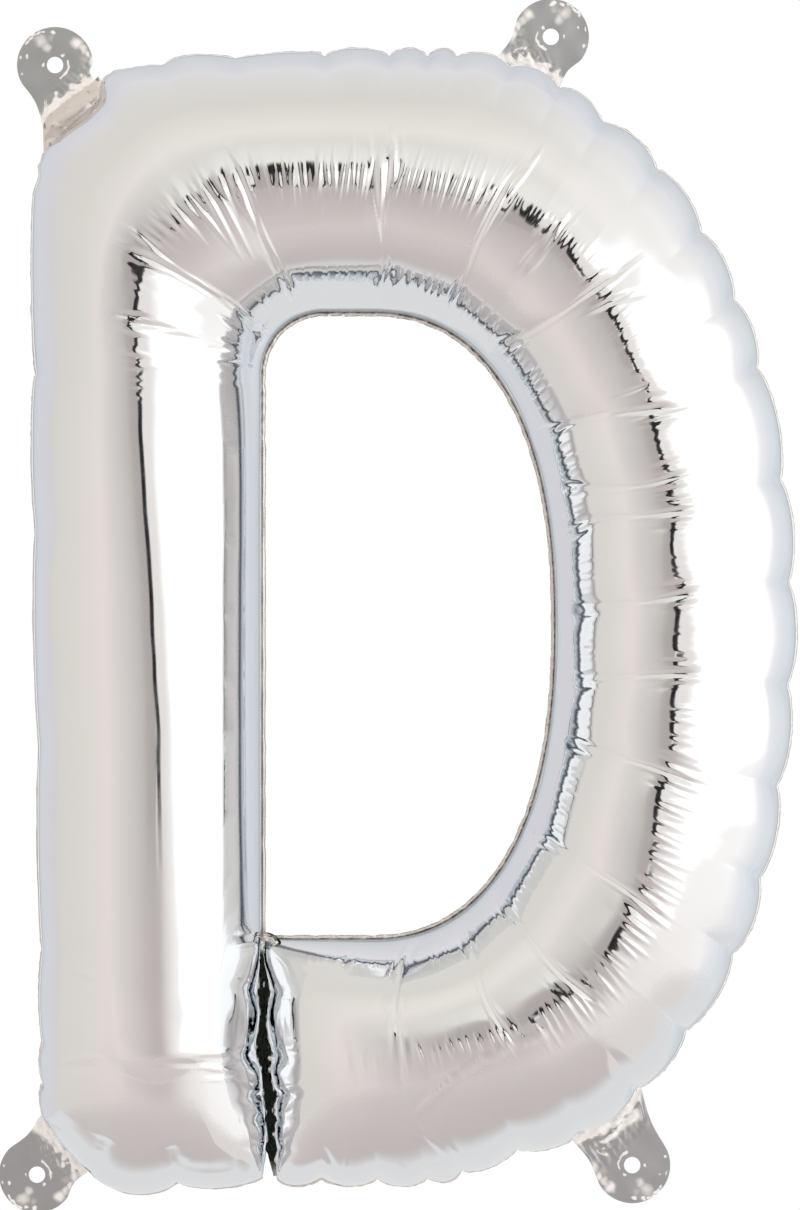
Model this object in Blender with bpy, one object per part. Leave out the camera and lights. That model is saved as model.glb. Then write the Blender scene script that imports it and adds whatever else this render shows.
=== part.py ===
"""Foil balloon in the shape of the letter D, about 350 mm tall when it is full.

Two foil sheets are welded together round the letter's outline, round its counter and
down one short seam between the foot of the stem and the end of the bowl. Along that
path the letter is one long bent tube: up the stem, round the corner and round the bowl.
Millimetres here, with X to the right, Z up and Y away from the viewer. The origin is
midway between the holes of the two upper hanging tabs, on the plane of the seam.
"""

import math

import bmesh
import bpy
import numpy as np

MM = 0.001

# The stem of the letter. Its left edge runs a little inwards from top to foot
STEM_LEFT_TOP = -82.0
STEM_LEFT_FOOT = -79.6
STEM_RIGHT = -11.9
FOOT_Z = -346.0
DRIFT_TOP_Z = -100.0
DRIFT_BOTTOM_Z = -300.0

# The foot is lobed and cut off on its left, where a tab grows from it: the points
# between lobes as (x, z), and how far each lobe stands below the line between them
FOOT_POINTS = ((-79.6, -324.0), (-64.4, -342.0), (-37.8, -344.9), (-11.9, -343.6))
FOOT_BULGES = (1.5, 5.2, 2.6)
FOOT_REACH = 85.0

# The upper left corner, from the stem's side to the top bar, as (x, z)
CORNER_POINTS = (
    (-82.0, -60.0),
    (-81.9, -44.0),
    (-80.2, -38.4),
    (-80.9, -34.6),
    (-78.2, -30.4),
    (-71.6, -25.4),
    (-64.6, -20.4),
    (-61.6, -15.0),
    (-60.6, -9.2),
    (-57.0, -6.8),
    (-50.0, -5.4),
    (-43.0, -3.8),
    (-37.0, -2.2),
    (-31.0, -1.7),
    (-12.0, -1.6),
    (0.0, -0.8),
)

# The bowl: an outer and an inner superellipse, with straight runs back to the stem
OUTER_CENTRE = (38.9, -173.0)
OUTER_RADII = (112.1, 173.2)
OUTER_POWER = 2.12

# Where the bowl leaves that outline: degrees, width in degrees, and how far outwards
OUTER_SWELLS = ((167, 9, -4.6), (122, 13, 2.0), (28, 5, -1.5))
COUNTER_CENTRE = (20.6, -175.6)
COUNTER_RADII = (56.8, 95.5)
COUNTER_POWER = 2.35
COUNTER_CORNER_RADIUS = 19.0

# The weld between the foot of the stem and the end of the bowl
BOWL_END_X = -9.1

# Sheets: how deep the full tube is against its width, and the gap they leave
DEPTH_SHARE = 0.9
WELD_THICKNESS = 0.4
CLEARANCE = 0.35
SHEET_FACE_Y = WELD_THICKNESS / 2 + CLEARANCE

# Welded rims: how far they stand out of the letter, and reach between the sheets
RIM_OUT = 1.0
RIM_IN = 3.0
WAY_BLUR = 7

# Pleats that draw in the outer edge, as heights on the stem, widths along the top of
# the letter, and degrees clockwise from the top of the bowl
STEM_PLEATS = (-328.0, -309.0, -275.0, -212.0, -146.0)
CORNER_PLEATS = (-80.2, -61.6, -42.7, -20.1)
TOP_RUN_PLEATS = (0.63,)
BOWL_PLEATS = (4, 12, 20, 28, 38, 48, 57, 65, 77, 87, 96, 106, 116, 125, 136, 146, 156, 166, 175)
END_PLEATS = (0.68, 0.32)
STEM_PLEAT_DEPTH = 1.2
CORNER_PLEAT_DEPTH = 1.6
BOWL_PLEAT_DEPTH = 2.8
PLEAT_POWER = 0.55
STATIONS_PER_PLEAT = 5
CREASE_DEPTH = 0.075
CREASE_WIDTH = 0.16

# Points across the tube on each sheet
ACROSS = 14

# Hanging tabs: the hole's centre, and where the tab's two sides meet the letter
TAB_RADIUS = 11.6
TAB_HOLE_RADIUS = 2.5
TAB_POINTS = 72
TAB_BASE_POINTS = 9
TABS = {
    "top_left": {"hole": (-75.0, -4.6), "base": ((-77.6, -19.8), (-63.0, -7.0))},
    "top_right": {"hole": (76.2, 4.0), "base": ((59.8, -1.5), (79.6, -14.6))},
    "bottom_left": {"hole": (-80.5, -343.0), "base": ((-64.8, -341.8), (-80.0, -324.6))},
    "bottom_right": {"hole": (101.0, -340.1), "base": ((104.3, -317.8), (83.0, -333.4))},
}

# The inflation valve: a flat film tube between the upper left corner and its tab. Its
# outer edge is a line of (x, z), and its inner edge follows the rim between two points
VALVE_OUTER = ((-78.4, -22.6), (-77.4, -20.4), (-71.0, -15.6), (-64.9, -12.0), (-64.0, -10.4))
VALVE_INNER = ((-79.6, -28.8), (-63.2, -11.6))
VALVE_POINTS = 9

# Colours, as red, green and blue of the surface
FRONT_FOIL = (0.78, 0.77, 0.76)
BACK_FOIL = (0.77, 0.77, 0.77)
RIM_FOIL = (0.72, 0.72, 0.73)
TAB_FOIL = (0.62, 0.62, 0.62)
VALVE_FILM = (0.70, 0.68, 0.66)


def smooth(share):
    """Eases from 0 to 1 as share goes from 0 to 1."""
    share = min(max(share, 0.0), 1.0)
    return share * share * (3 - 2 * share)


def superellipse(centre, radii, power, degrees):
    """A point at that many degrees clockwise from the top."""
    angle = math.radians(degrees)
    across, up = math.sin(angle), math.cos(angle)
    return np.array(
        [
            centre[0] + radii[0] * math.copysign(abs(across) ** (2 / power), across),
            centre[1] + radii[1] * math.copysign(abs(up) ** (2 / power), up),
        ]
    )


def stem_rib(z):
    """The outer and inner ends of the level rib at that height on the stem."""
    drift = smooth((DRIFT_TOP_Z - z) / (DRIFT_TOP_Z - DRIFT_BOTTOM_Z))
    left = STEM_LEFT_TOP + (STEM_LEFT_FOOT - STEM_LEFT_TOP) * drift
    return np.array([left, z]), np.array([STEM_RIGHT, z])


def along(points, share):
    """The point at that share of a polyline's length."""
    points = np.array(points, float)
    steps = np.linalg.norm(np.diff(points, axis=0), axis=1)
    length = np.concatenate([[0], np.cumsum(steps)])
    at = share * length[-1]
    return np.array([np.interp(at, length, points[:, k]) for k in range(2)])


COUNTER_TOP = COUNTER_CENTRE[1] + COUNTER_RADII[1]
COUNTER_BOTTOM = COUNTER_CENTRE[1] - COUNTER_RADII[1]
ARC_CENTRE = (STEM_RIGHT + COUNTER_CORNER_RADIUS, COUNTER_TOP - COUNTER_CORNER_RADIUS)


def corner_outline():
    """The outer edge from the stem's side to the top of the letter, as a polyline."""
    end = OUTER_CENTRE[1] + OUTER_RADII[1]
    return np.array([stem_rib(ARC_CENTRE[1])[0], *CORNER_POINTS, (ARC_CENTRE[0], end)])


def share_at_x(points, x):
    """The share of a polyline's length at its last point with that x."""
    steps = np.linalg.norm(np.diff(points, axis=0), axis=1)
    length = np.concatenate([[0], np.cumsum(steps)])
    after = next(k for k in range(len(points) - 1, 0, -1) if points[k - 1][0] <= x)
    part = (x - points[after - 1][0]) / (points[after][0] - points[after - 1][0])
    return (length[after - 1] + part * steps[after - 1]) / length[-1]


def corner_rib(share):
    """The rib at that share of the turn round the counter's upper left corner."""
    turn = math.radians(180 - 90 * share)
    inner = np.array(
        [
            ARC_CENTRE[0] + COUNTER_CORNER_RADIUS * math.cos(turn),
            ARC_CENTRE[1] + COUNTER_CORNER_RADIUS * math.sin(turn),
        ]
    )
    return along(corner_outline(), share), inner


def run_rib(share, top):
    """A rib of the straight run that joins the bowl to the stem, at the top or the bottom."""
    degrees = 0 if top else 180
    outer_end = superellipse(OUTER_CENTRE, OUTER_RADII, OUTER_POWER, degrees)
    inner_end = superellipse(COUNTER_CENTRE, COUNTER_RADII, COUNTER_POWER, degrees)
    start_x = ARC_CENTRE[0] if top else BOWL_END_X
    outer_start = np.array([start_x, outer_end[1]])
    inner_start = np.array([start_x, inner_end[1]])
    return (
        outer_start + (outer_end - outer_start) * share,
        inner_start + (inner_end - inner_start) * share,
    )


def bowl_rib(degrees):
    outer = superellipse(OUTER_CENTRE, OUTER_RADII, OUTER_POWER, degrees)
    inner = superellipse(COUNTER_CENTRE, COUNTER_RADII, COUNTER_POWER, degrees)
    outwards = (outer - inner) / np.linalg.norm(outer - inner)
    for middle, width, amount in OUTER_SWELLS:
        outer = outer + outwards * amount * math.exp(-(((degrees - middle) / width) ** 2))
    return outer, inner


def between(first, last, pleats):
    """Stations from first to last, with one on each pleat and a few between: (value, bulge)."""
    stops = sorted({first, last, *pleats}, reverse=first > last)
    found = []
    for here, there in zip(stops, stops[1:]):
        for k in range(STATIONS_PER_PLEAT):
            share = k / STATIONS_PER_PLEAT
            found.append((here + (there - here) * share, math.sin(math.pi * share)))
    return found


def ribs():
    """Every rib from the foot of the stem to the bowl's end: outer point, inner point, pleat."""
    corner_pleats = [share_at_x(corner_outline(), x) for x in CORNER_PLEATS]
    found = []
    for z, bulge in between(FOOT_Z, ARC_CENTRE[1], STEM_PLEATS):
        found.append((*stem_rib(z), STEM_PLEAT_DEPTH, bulge))
    for share, bulge in between(0.0, 1.0, corner_pleats):
        found.append((*corner_rib(share), CORNER_PLEAT_DEPTH, bulge))
    for share, bulge in between(0.0, 1.0, TOP_RUN_PLEATS):
        found.append((*run_rib(share, True), BOWL_PLEAT_DEPTH, bulge))
    for degrees, bulge in between(0.0, 180.0, BOWL_PLEATS):
        found.append((*bowl_rib(degrees), BOWL_PLEAT_DEPTH, bulge))
    for share, bulge in between(1.0, 0.0, END_PLEATS):
        found.append((*run_rib(share, False), BOWL_PLEAT_DEPTH, bulge))
    found.append((*run_rib(0.0, False), 0.0, 1.0))
    return found


def pleated(rib):
    """The rib with its outer end drawn in at a pleat."""
    outer, inner, depth, bulge = rib
    inward = (inner - outer) / np.linalg.norm(inner - outer)
    return outer + inward * depth * (1 - bulge**PLEAT_POWER), inner


def foot_edge(x):
    """The height of the stem's lobed foot at that x."""
    points = FOOT_POINTS
    lobe = sum(1 for point in points[1:-1] if x > point[0])
    left, right = points[lobe], points[lobe + 1]
    share = min(max((x - left[0]) / (right[0] - left[0]), 0.0), 1.0)
    chord = left[1] + (right[1] - left[1]) * share
    return chord - FOOT_BULGES[lobe] * math.sin(math.pi * share) ** 0.7


def with_foot(point):
    """The point, moved so that the stem's square end becomes its lobed foot."""
    x, z = point
    if x > STEM_RIGHT + 0.01 or z > FOOT_Z + FOOT_REACH:
        return np.array([x, z])
    fade = 1 - (z - FOOT_Z) / FOOT_REACH
    return np.array([x, z + (foot_edge(x) - FOOT_Z) * fade * fade])


def plane_grid(stations):
    """Points of the letter's face in its own plane, as an array of ribs by points across."""
    shares = (1 - np.cos(np.pi * np.arange(ACROSS + 1) / ACROSS)) / 2
    rows = []
    for rib in stations:
        outer, inner = pleated(rib)
        rows.append([with_foot(outer + (inner - outer) * share) for share in shares])
    return np.array(rows)


def triangles_of(rows, columns):
    """Two triangles for each cell of a grid, as point numbers."""
    number = np.arange(rows * columns).reshape(rows, columns)
    a, b = number[:-1, :-1].ravel(), number[1:, :-1].ravel()
    c, d = number[1:, 1:].ravel(), number[:-1, 1:].ravel()
    return np.concatenate([np.stack([a, b, c], 1), np.stack([a, c, d], 1)])


def membrane(plane):
    """How a film held at the edge of the letter bulges, from a finite element solution.

    The film's height times itself is twice this value, which makes the section of a
    long straight tube an exact circle and rounds off its ends and corners.
    """
    rows, columns = plane.shape[:2]
    points = plane.reshape(-1, 2)
    triangles = triangles_of(rows, columns)
    corner = points[triangles]
    edge = corner[:, [2, 0, 1]] - corner[:, [1, 2, 0]]
    area = abs(edge[:, 0, 0] * edge[:, 1, 1] - edge[:, 0, 1] * edge[:, 1, 0]) / 2
    stiff = np.einsum("nik,njk->nij", edge, edge) / (4 * area)[:, None, None]
    load = np.zeros(len(points))
    np.add.at(load, triangles, (area / 3)[:, None].repeat(3, 1))
    free = np.zeros((rows, columns), bool)
    free[1:-1, 1:-1] = True
    free = free.ravel()

    def applied(value):
        result = np.zeros(len(points))
        np.add.at(result, triangles, np.einsum("nij,nj->ni", stiff, value[triangles]))
        return result * free

    diagonal = np.ones(len(points))
    np.add.at(diagonal, triangles, np.einsum("nii->ni", stiff))
    value = np.zeros(len(points))
    residual = load * free
    step = residual / diagonal
    norm = residual @ step
    target = norm * 1e-14
    while norm > target:
        image = applied(step)
        length = norm / (step @ image)
        value += length * step
        residual -= length * image
        scaled = residual / diagonal
        following = residual @ scaled
        step = scaled + (following / norm) * step
        norm = following
    return value.reshape(rows, columns)


def crease_share(stations):
    """How far a crease sinks the sheet at each rib and point across, as a share of its height."""
    across = np.arange(ACROSS + 1) / ACROSS
    reach = np.sin(np.pi * across) ** 0.5
    sink = []
    for _, _, depth, bulge in stations:
        fade = math.exp(-((bulge / CREASE_WIDTH / 2) ** 2))
        sink.append(CREASE_DEPTH * depth / BOWL_PLEAT_DEPTH * fade)
    return np.array(sink)[:, None] * reach[None, :]


def sheet_heights(plane, stations):
    """The height of a sheet above its flat face at each grid point."""
    height = DEPTH_SHARE * np.sqrt(2 * np.maximum(membrane(plane), 0))
    return height * (1 - crease_share(stations))


def material(name, colour, roughness, metallic):
    made = bpy.data.materials.get(name) or bpy.data.materials.new(name)
    made.use_nodes = True
    shader = made.node_tree.nodes["Principled BSDF"]
    shader.inputs["Base Color"].default_value = (*colour, 1)
    shader.inputs["Roughness"].default_value = roughness
    shader.inputs["Metallic"].default_value = metallic
    return made


def add_object(name, points, faces, made_of, smooth_angle=None):
    """A mesh object from points in millimetres, with its faces turned outwards."""
    mesh = bpy.data.meshes.new(name)
    mesh.from_pydata([tuple(float(c) * MM for c in p) for p in points], [], faces)
    work = bmesh.new()
    work.from_mesh(mesh)
    bmesh.ops.recalc_face_normals(work, faces=work.faces)
    work.to_mesh(mesh)
    work.free()
    mesh.materials.append(made_of)
    if smooth_angle is not None:
        mesh.shade_smooth()
        mesh.set_sharp_from_angle(angle=math.radians(smooth_angle))
    made = bpy.data.objects.new(name, mesh)
    bpy.context.scene.collection.objects.link(made)
    return made


def add_sheet(name, plane, heights, side, foil):
    """One inflated half of the letter, bulging away from its flat face. Side is -1 at the front."""
    rows, columns = heights.shape
    points = []
    for i in range(rows):
        for j in range(columns):
            x, z = plane[i, j]
            points.append((x, side * (SHEET_FACE_Y + heights[i, j]), z))

    def number(i, j):
        return i * columns + j

    # The two cells that meet the edge on two sides are split the other way, so that
    # neither gets a triangle lying in the flat face
    other_way = {(0, columns - 2), (rows - 2, 0)}
    faces = []
    for i in range(rows - 1):
        for j in range(columns - 1):
            a, b = number(i, j), number(i + 1, j)
            c, d = number(i + 1, j + 1), number(i, j + 1)
            if (i, j) in other_way:
                faces += [(a, b, d), (b, c, d)]
            else:
                faces += [(a, b, c), (a, c, d)]
    last = columns - 1
    end = rows - 1
    faces.append([number(0, j) for j in range(columns)] + [number(1, last), number(1, 0)])
    for i in range(1, end - 1):
        faces.append([number(i, 0), number(i, last), number(i + 1, last), number(i + 1, 0)])
    end_row = [number(end, j) for j in reversed(range(columns))]
    faces.append([number(end - 1, 0), number(end - 1, last)] + end_row)
    return add_object(name, points, faces, foil, 40)


def add_plate(name, loop_a, loop_b, closed, made_of):
    """A flat strip of weld thickness between two matching lines in the seam's plane."""
    half = WELD_THICKNESS / 2
    count = len(loop_a)
    points = []
    for y in (-half, half):
        for line in (loop_a, loop_b):
            points += [(x, y, z) for x, z in line]
    front_a, front_b, back_a, back_b = 0, count, 2 * count, 3 * count
    faces = []
    steps = count if closed else count - 1
    for k in range(steps):
        n = (k + 1) % count
        faces.append((front_a + k, front_b + k, front_b + n, front_a + n))
        faces.append((back_a + k, back_a + n, back_b + n, back_b + k))
        faces.append((front_a + k, front_a + n, back_a + n, back_a + k))
        faces.append((front_b + k, back_b + k, back_b + n, front_b + n))
    if not closed:
        faces.append((front_a, back_a, back_b, front_b))
        e = count - 1
        faces.append((front_a + e, front_b + e, back_b + e, back_a + e))
    return add_object(name, points, faces, made_of)


def units(vectors):
    return vectors / np.linalg.norm(vectors, axis=1)[:, None]


def outer_edge(plane, inwards):
    """The letter's outer edge from the weld along the foot and round to the weld again,
    moved that far into the letter."""
    edge = np.vstack([plane[0, :0:-1], plane[:, 0]])
    within = np.vstack([plane[1, :0:-1], plane[1:2, 1], plane[1:, 1]])
    way = units(within - edge)
    padded = np.pad(way, ((WAY_BLUR, WAY_BLUR), (0, 0)), mode="edge")
    blurred = sum(padded[k : k + len(way)] for k in range(2 * WAY_BLUR + 1))
    return edge + units(blurred) * inwards


def counter_edge(plane, inwards):
    """The counter's edge, from the weld up the stem and clockwise back to the weld."""
    rows = plane[plane[:, -1, 1] >= COUNTER_BOTTOM - 1e-6]
    return rows[:, -1] + units(rows[:, -2] - rows[:, -1]) * inwards


def stretch(line, first, last, count):
    """Evenly spaced points along the line, between its points nearest to first and last."""
    here = int(np.argmin(np.linalg.norm(line - np.array(first), axis=1)))
    there = int(np.argmin(np.linalg.norm(line - np.array(last), axis=1)))
    part = line[here : there + 1] if there > here else line[there : here + 1][::-1]
    return np.array([along(part, k / (count - 1)) for k in range(count)])


def tangent_angle(hole, point, side):
    """Where a line from the point touches the tab's circle, on that side of the point."""
    away = np.array(point) - np.array(hole)
    reach = max(np.linalg.norm(away), TAB_RADIUS)
    return math.atan2(away[1], away[0]) + side * math.acos(TAB_RADIUS / reach)


def tab_outline(hole, base):
    """The tab's edge: the base that lies along the letter, and the arc round the hole."""
    start = tangent_angle(hole, base[-1], 1)
    stop = tangent_angle(hole, base[0], -1)
    while stop < start:
        stop += 2 * math.pi
    arc = []
    for k in range(TAB_POINTS + 1):
        turn = start + (stop - start) * k / TAB_POINTS
        arc.append(np.array(hole) + TAB_RADIUS * np.array([math.cos(turn), math.sin(turn)]))
    return np.vstack([base, arc])


def ray_to_outline(hole, outline, turn):
    """Where a ray from the hole at that angle leaves the outline."""
    way = np.array([math.cos(turn), math.sin(turn)])
    side = np.array([-way[1], way[0]])
    reach = 0.0
    for a, b in zip(outline, np.roll(outline, -1, 0)):
        off_a, off_b = (a - hole) @ side, (b - hole) @ side
        if (off_a < 0) == (off_b < 0):
            continue
        crossing = a + (b - a) * off_a / (off_a - off_b)
        reach = max(reach, (crossing - hole) @ way)
    return hole + way * reach


def add_tab(name, hole, base):
    """One hanging tab: a flat foil disc with a punched hole, grown out of the letter's edge."""
    hole = np.array(hole)
    outline = tab_outline(hole, base)
    outer, inner = [], []
    for k in range(TAB_POINTS):
        turn = 2 * math.pi * k / TAB_POINTS
        outer.append(ray_to_outline(hole, outline, turn))
        inner.append(hole + TAB_HOLE_RADIUS * np.array([math.cos(turn), math.sin(turn)]))
    foil = material(name + "_foil", TAB_FOIL, 0.25, 1.0)
    add_plate(name, outer, inner, True, foil)


def add_rims(plane):
    """The welded rims: round the outside, round the counter, and the weld between the two."""
    for name, edge, closed in (
        ("outer_rim", outer_edge, False),
        ("counter_rim", counter_edge, True),
    ):
        foil = material(name + "_foil", RIM_FOIL, 0.2, 1.0)
        add_plate(name, edge(plane, -RIM_OUT), edge(plane, RIM_IN), closed, foil)
    middle = (STEM_RIGHT + BOWL_END_X) / 2
    top = COUNTER_BOTTOM - RIM_IN - CLEARANCE
    bottom = FOOT_POINTS[-1][1] + RIM_IN + CLEARANCE + 1
    left = [(middle - RIM_IN, z) for z in (bottom, top)]
    right = [(middle + RIM_IN, z) for z in (bottom, top)]
    foil = material("stem_to_bowl_weld_foil", RIM_FOIL, 0.25, 1.0)
    add_plate("stem_to_bowl_weld", left, right, False, foil)


def add_valve_and_tabs(plane):
    """The pieces in the seam's plane, just outside the outer rim."""
    beside_rim = outer_edge(plane, -RIM_OUT - CLEARANCE)
    shares = [k / (VALVE_POINTS - 1) for k in range(VALVE_POINTS)]
    valve_edge = np.array([along(VALVE_OUTER, share) for share in shares])
    rim_edge = stretch(beside_rim, *VALVE_INNER, VALVE_POINTS)
    film = material("inflation_valve_film", VALVE_FILM, 0.3, 0.6)
    add_plate("inflation_valve", valve_edge, rim_edge, False, film)
    for place, tab in TABS.items():
        if place == "top_left":
            base = valve_edge - units(rim_edge - valve_edge) * CLEARANCE
        else:
            base = stretch(beside_rim, *tab["base"], TAB_BASE_POINTS)
        add_tab("hanging_tab_" + place, tab["hole"], base)


def main():
    for old in list(bpy.data.objects):
        bpy.data.objects.remove(old)
    plane = plane_grid(ribs())
    heights = sheet_heights(plane, ribs())
    add_sheet("front_sheet", plane, heights, -1, material("front_foil", FRONT_FOIL, 0.12, 1.0))
    add_sheet("back_sheet", plane, heights, 1, material("back_foil", BACK_FOIL, 0.12, 1.0))
    add_rims(plane)
    add_valve_and_tabs(plane)


main()
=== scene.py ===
"""Looks of the letter foil balloon: crinkled mirror foil hung in a pale light tent.

Sizes are millimetres in the part's own frame, as in the part's source: X to the right,
Z up, Y away from the viewer, and the origin midway between the two upper tab holes.
"""

import math

import bpy
import numpy as np
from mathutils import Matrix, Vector


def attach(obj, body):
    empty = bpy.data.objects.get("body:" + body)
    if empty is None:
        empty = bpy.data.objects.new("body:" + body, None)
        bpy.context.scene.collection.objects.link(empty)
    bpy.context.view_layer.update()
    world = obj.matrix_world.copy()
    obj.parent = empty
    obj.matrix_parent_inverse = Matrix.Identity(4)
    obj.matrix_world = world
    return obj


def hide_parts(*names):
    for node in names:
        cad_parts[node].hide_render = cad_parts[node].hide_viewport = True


MM = 0.001

# The photograph's frame, and how its pixels lie in the plane of the seam
PHOTO_WIDTH = 800
PHOTO_HEIGHT = 1210
PIXEL = 0.305
PIXEL_ZERO = np.array([301.0, 50.0])
VIEW_CENTRE = (np.array([PHOTO_WIDTH, PHOTO_HEIGHT]) / 2 - PIXEL_ZERO) * (PIXEL, -PIXEL)
LENS = 100.0
SENSOR = 36.0
VIEW_DISTANCE = PHOTO_HEIGHT * PIXEL * LENS / SENSOR

# The stem of the letter, its drifting left edge and its lobed foot
STEM_LEFT_TOP = -82.0
STEM_LEFT_FOOT = -79.6
STEM_RIGHT = -11.9
FOOT_Z = -346.0
DRIFT_TOP_Z = -100.0
DRIFT_BOTTOM_Z = -300.0
FOOT_POINTS = ((-79.6, -324.0), (-64.4, -342.0), (-37.8, -344.9), (-11.9, -343.6))
FOOT_BULGES = (1.5, 5.2, 2.6)
FOOT_REACH = 85.0

# The upper left corner, from the stem's side to the top bar, as (x, z)
CORNER_POINTS = (
    (-82.0, -60.0), (-81.9, -44.0), (-80.2, -38.4), (-80.9, -34.6), (-78.2, -30.4), (-71.6, -25.4),
    (-64.6, -20.4), (-61.6, -15.0), (-60.6, -9.2), (-57.0, -6.8), (-50.0, -5.4), (-43.0, -3.8),
    (-37.0, -2.2), (-31.0, -1.7), (-12.0, -1.6), (0.0, -0.8),
)

# The bowl: an outer and an inner superellipse, with straight runs back to the stem
OUTER_CENTRE = (38.9, -173.0)
OUTER_RADII = (112.1, 173.2)
OUTER_POWER = 2.12
OUTER_SWELLS = ((167, 9, -4.6), (122, 13, 2.0), (28, 5, -1.5))
COUNTER_CENTRE = (20.6, -175.6)
COUNTER_RADII = (56.8, 95.5)
COUNTER_POWER = 2.35
COUNTER_CORNER_RADIUS = 19.0
COUNTER_TOP = COUNTER_CENTRE[1] + COUNTER_RADII[1]
COUNTER_BOTTOM = COUNTER_CENTRE[1] - COUNTER_RADII[1]
ARC_CENTRE = (STEM_RIGHT + COUNTER_CORNER_RADIUS, COUNTER_TOP - COUNTER_CORNER_RADIUS)
BOWL_END_X = -9.1

# The crumpled slit between the stem's foot and the bowl's end: pixel rows of the
# photograph's frame, each with the left and the right edge of the dark valley
SLIT_EDGES = (
    (938, 262.0, 266.5), (953, 260.6, 262.0), (962, 261.0, 263.4), (974, 260.2, 266.4),
    (985, 259.4, 269.6), (991, 255.4, 271.0), (996, 260.6, 268.8), (1010, 260.9, 266.8),
    (1025, 260.5, 267.0), (1038, 257.2, 268.6), (1051, 255.0, 273.4), (1056, 258.6, 270.4),
    (1070, 262.4, 269.8), (1084, 264.8, 272.6), (1095, 262.4, 278.6), (1101, 266.4, 274.0),
    (1110, 266.2, 273.4), (1119, 264.6, 276.2), (1125, 268.6, 273.8), (1138, 269.0, 274.4),
    (1148, 265.4, 276.4), (1157, 268.8, 274.6), (1168, 264.4, 275.4), (1186, 262.6, 277.4),
)
SLIT_TOP_Z = -268.0

# How far into the bowl the slit's edge is felt, and how far up and down the sheets even it out
SLIT_REACH = 11.0
SLIT_CALM = 3.6

# The weld's foil in the slit, painted black down its middle as the shade deep in the slit: its
# depth, where that painted shade starts, where it tapers and by how much, how far it runs under
# the sheets' edges, how far its own edges curl forwards and how deep its crumples are, and its points up
# and across
WELD_Y = -2.7
WELD_TOP_Z = -273.2
WELD_TAPER_Z = -332.0
WELD_TAPER = 0.78
WELD_OVERLAP = 0.4
WELD_CURL = 0.5
WELD_CRUMPLE = 0.3
WELD_GRID = (300, 22)

# The loop of foil that bridges the slit's top: its centre in the frame, its radius, the
# degrees it turns through, its depth and its points round and across
LOOP_PIXEL = (265.5, 949.0)
LOOP_RADIUS = 18.0 * PIXEL
LOOP_TURN = (96, 18)
LOOP_Y = -3.6
LOOP_GRID = (60, 16)

# Pleats that draw in the outer edge
STEM_PLEATS = (-328.0, -309.0, -275.0, -212.0, -146.0)
CORNER_PLEATS = (-80.2, -61.6, -42.7, -20.1)
TOP_RUN_PLEATS = (0.63,)
BOWL_PLEATS = (4, 12, 20, 28, 38, 48, 57, 65, 77, 87, 96, 106, 116, 125, 136, 146, 156, 166, 175)
END_PLEATS = (0.68, 0.32)
STEM_PLEAT_DEPTH = 1.2
CORNER_PLEAT_DEPTH = 1.6
BOWL_PLEAT_DEPTH = 2.8
PLEAT_POWER = 0.55

# The full tube: its depth against its width, and where its edge meets the welded rim
DEPTH_SHARE = 0.9
SEAM_Y = 0.2

# The mesh of a sheet: points across, and how they crowd to the edges
FRONT_ACROSS = 72
BACK_ACROSS = 36
EDGE_CROWDING = 0.6

# How closely the film's bulge is solved: rounds for the coarse start and for the finish
FILM_ROUNDS = (4000, 120)
FILM_TOLERANCE = 1e-12

# Spacing of the mesh's ribs along the tube, finest first, how much of it the plain part of
# the stem keeps at least, and about how long the stretches are
FINE = 0.55
MIDDLING = 0.8
WIDE = 3.2
PLAIN_FINENESS = 0.7
PLAIN_TOP_Z = -122.0
FOOT_LENGTH, PLAIN_LENGTH, NECK_LENGTH, CORNER_LENGTH = 72, 146, 23, 112
TOP_RUN_LENGTH, BOWL_LENGTH, END_LENGTH = 30, 430, 42
END_STEPS = 10
END_REACH = 6.0
END_POWER = 1.7

# Creases and pleats. Their places are pixels of the photograph's frame, seen straight on

# The long creases that part one pillow of the tube from the next: the way each one
# takes from outside the crest to the counter, its depth and its reach to either side
LONG_CREASES = (
    (((104, 240), (160, 262), (235, 307), (276, 346)), 3.6, 13.0),
    (((227, 142), (250, 205), (272, 262), (304, 308)), 1.2, 6.0),
    (((393, 128), (389, 170), (381, 215), (392, 300)), 1.0, 7.0),
    (((540, 147), (502, 186), (469, 258), (450, 312)), 1.3, 7.0),
    (((574, 215), (528, 264)), 0.5, 3.0),
    (((642, 254), (590, 292), (553, 319), (492, 352)), 0.8, 3.6),
    (((692, 404), (640, 412), (594, 414), (536, 438)), 1.4, 6.0),
    (((694, 470), (640, 488), (563, 490)), 0.9, 5.0),
    (((700, 508), (640, 516), (592, 519), (567, 533)), 1.2, 5.0),
    (((703, 590), (640, 603), (575, 609)), 1.2, 5.0),
    (((710, 672), (660, 674), (590, 680), (570, 683)), 1.3, 6.0),
    (((708, 790), (668, 772), (620, 758), (568, 744)), 1.4, 6.0),
    (((676, 929), (630, 892), (585, 866), (535, 834)), 1.5, 6.0),
    (((612, 1010), (572, 985), (538, 951), (494, 893)), 1.4, 6.0),
    (((512, 1040), (484, 1000), (474, 960), (463, 934)), 1.0, 6.0),
    (((398, 1040), (394, 1000), (402, 965), (412, 936)), 1.0, 6.0),
)
# The share of a long crease that it fades in over, its depth's share at the start, and how
# many times its reach it is felt for
CREASE_FADE_IN = 0.22
CREASE_START = 0.25
CREASE_TAIL = 5.0

# Slim strands that run side by side along every long crease: where each one starts and
# ends to the side of it, half of its width, its height, and the shares it runs between
STRANDS = (
    (-1.4, -0.5, 0.8, 0.13, 0.05, 0.80),
    (0.2, -1.2, 0.75, -0.15, 0.12, 0.95),
    (1.5, 0.3, 0.85, 0.14, 0.0, 0.72),
    (0.8, 1.3, 0.7, 0.18, 0.40, 1.0),
)
STRAND_REACH = 4.0

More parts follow.
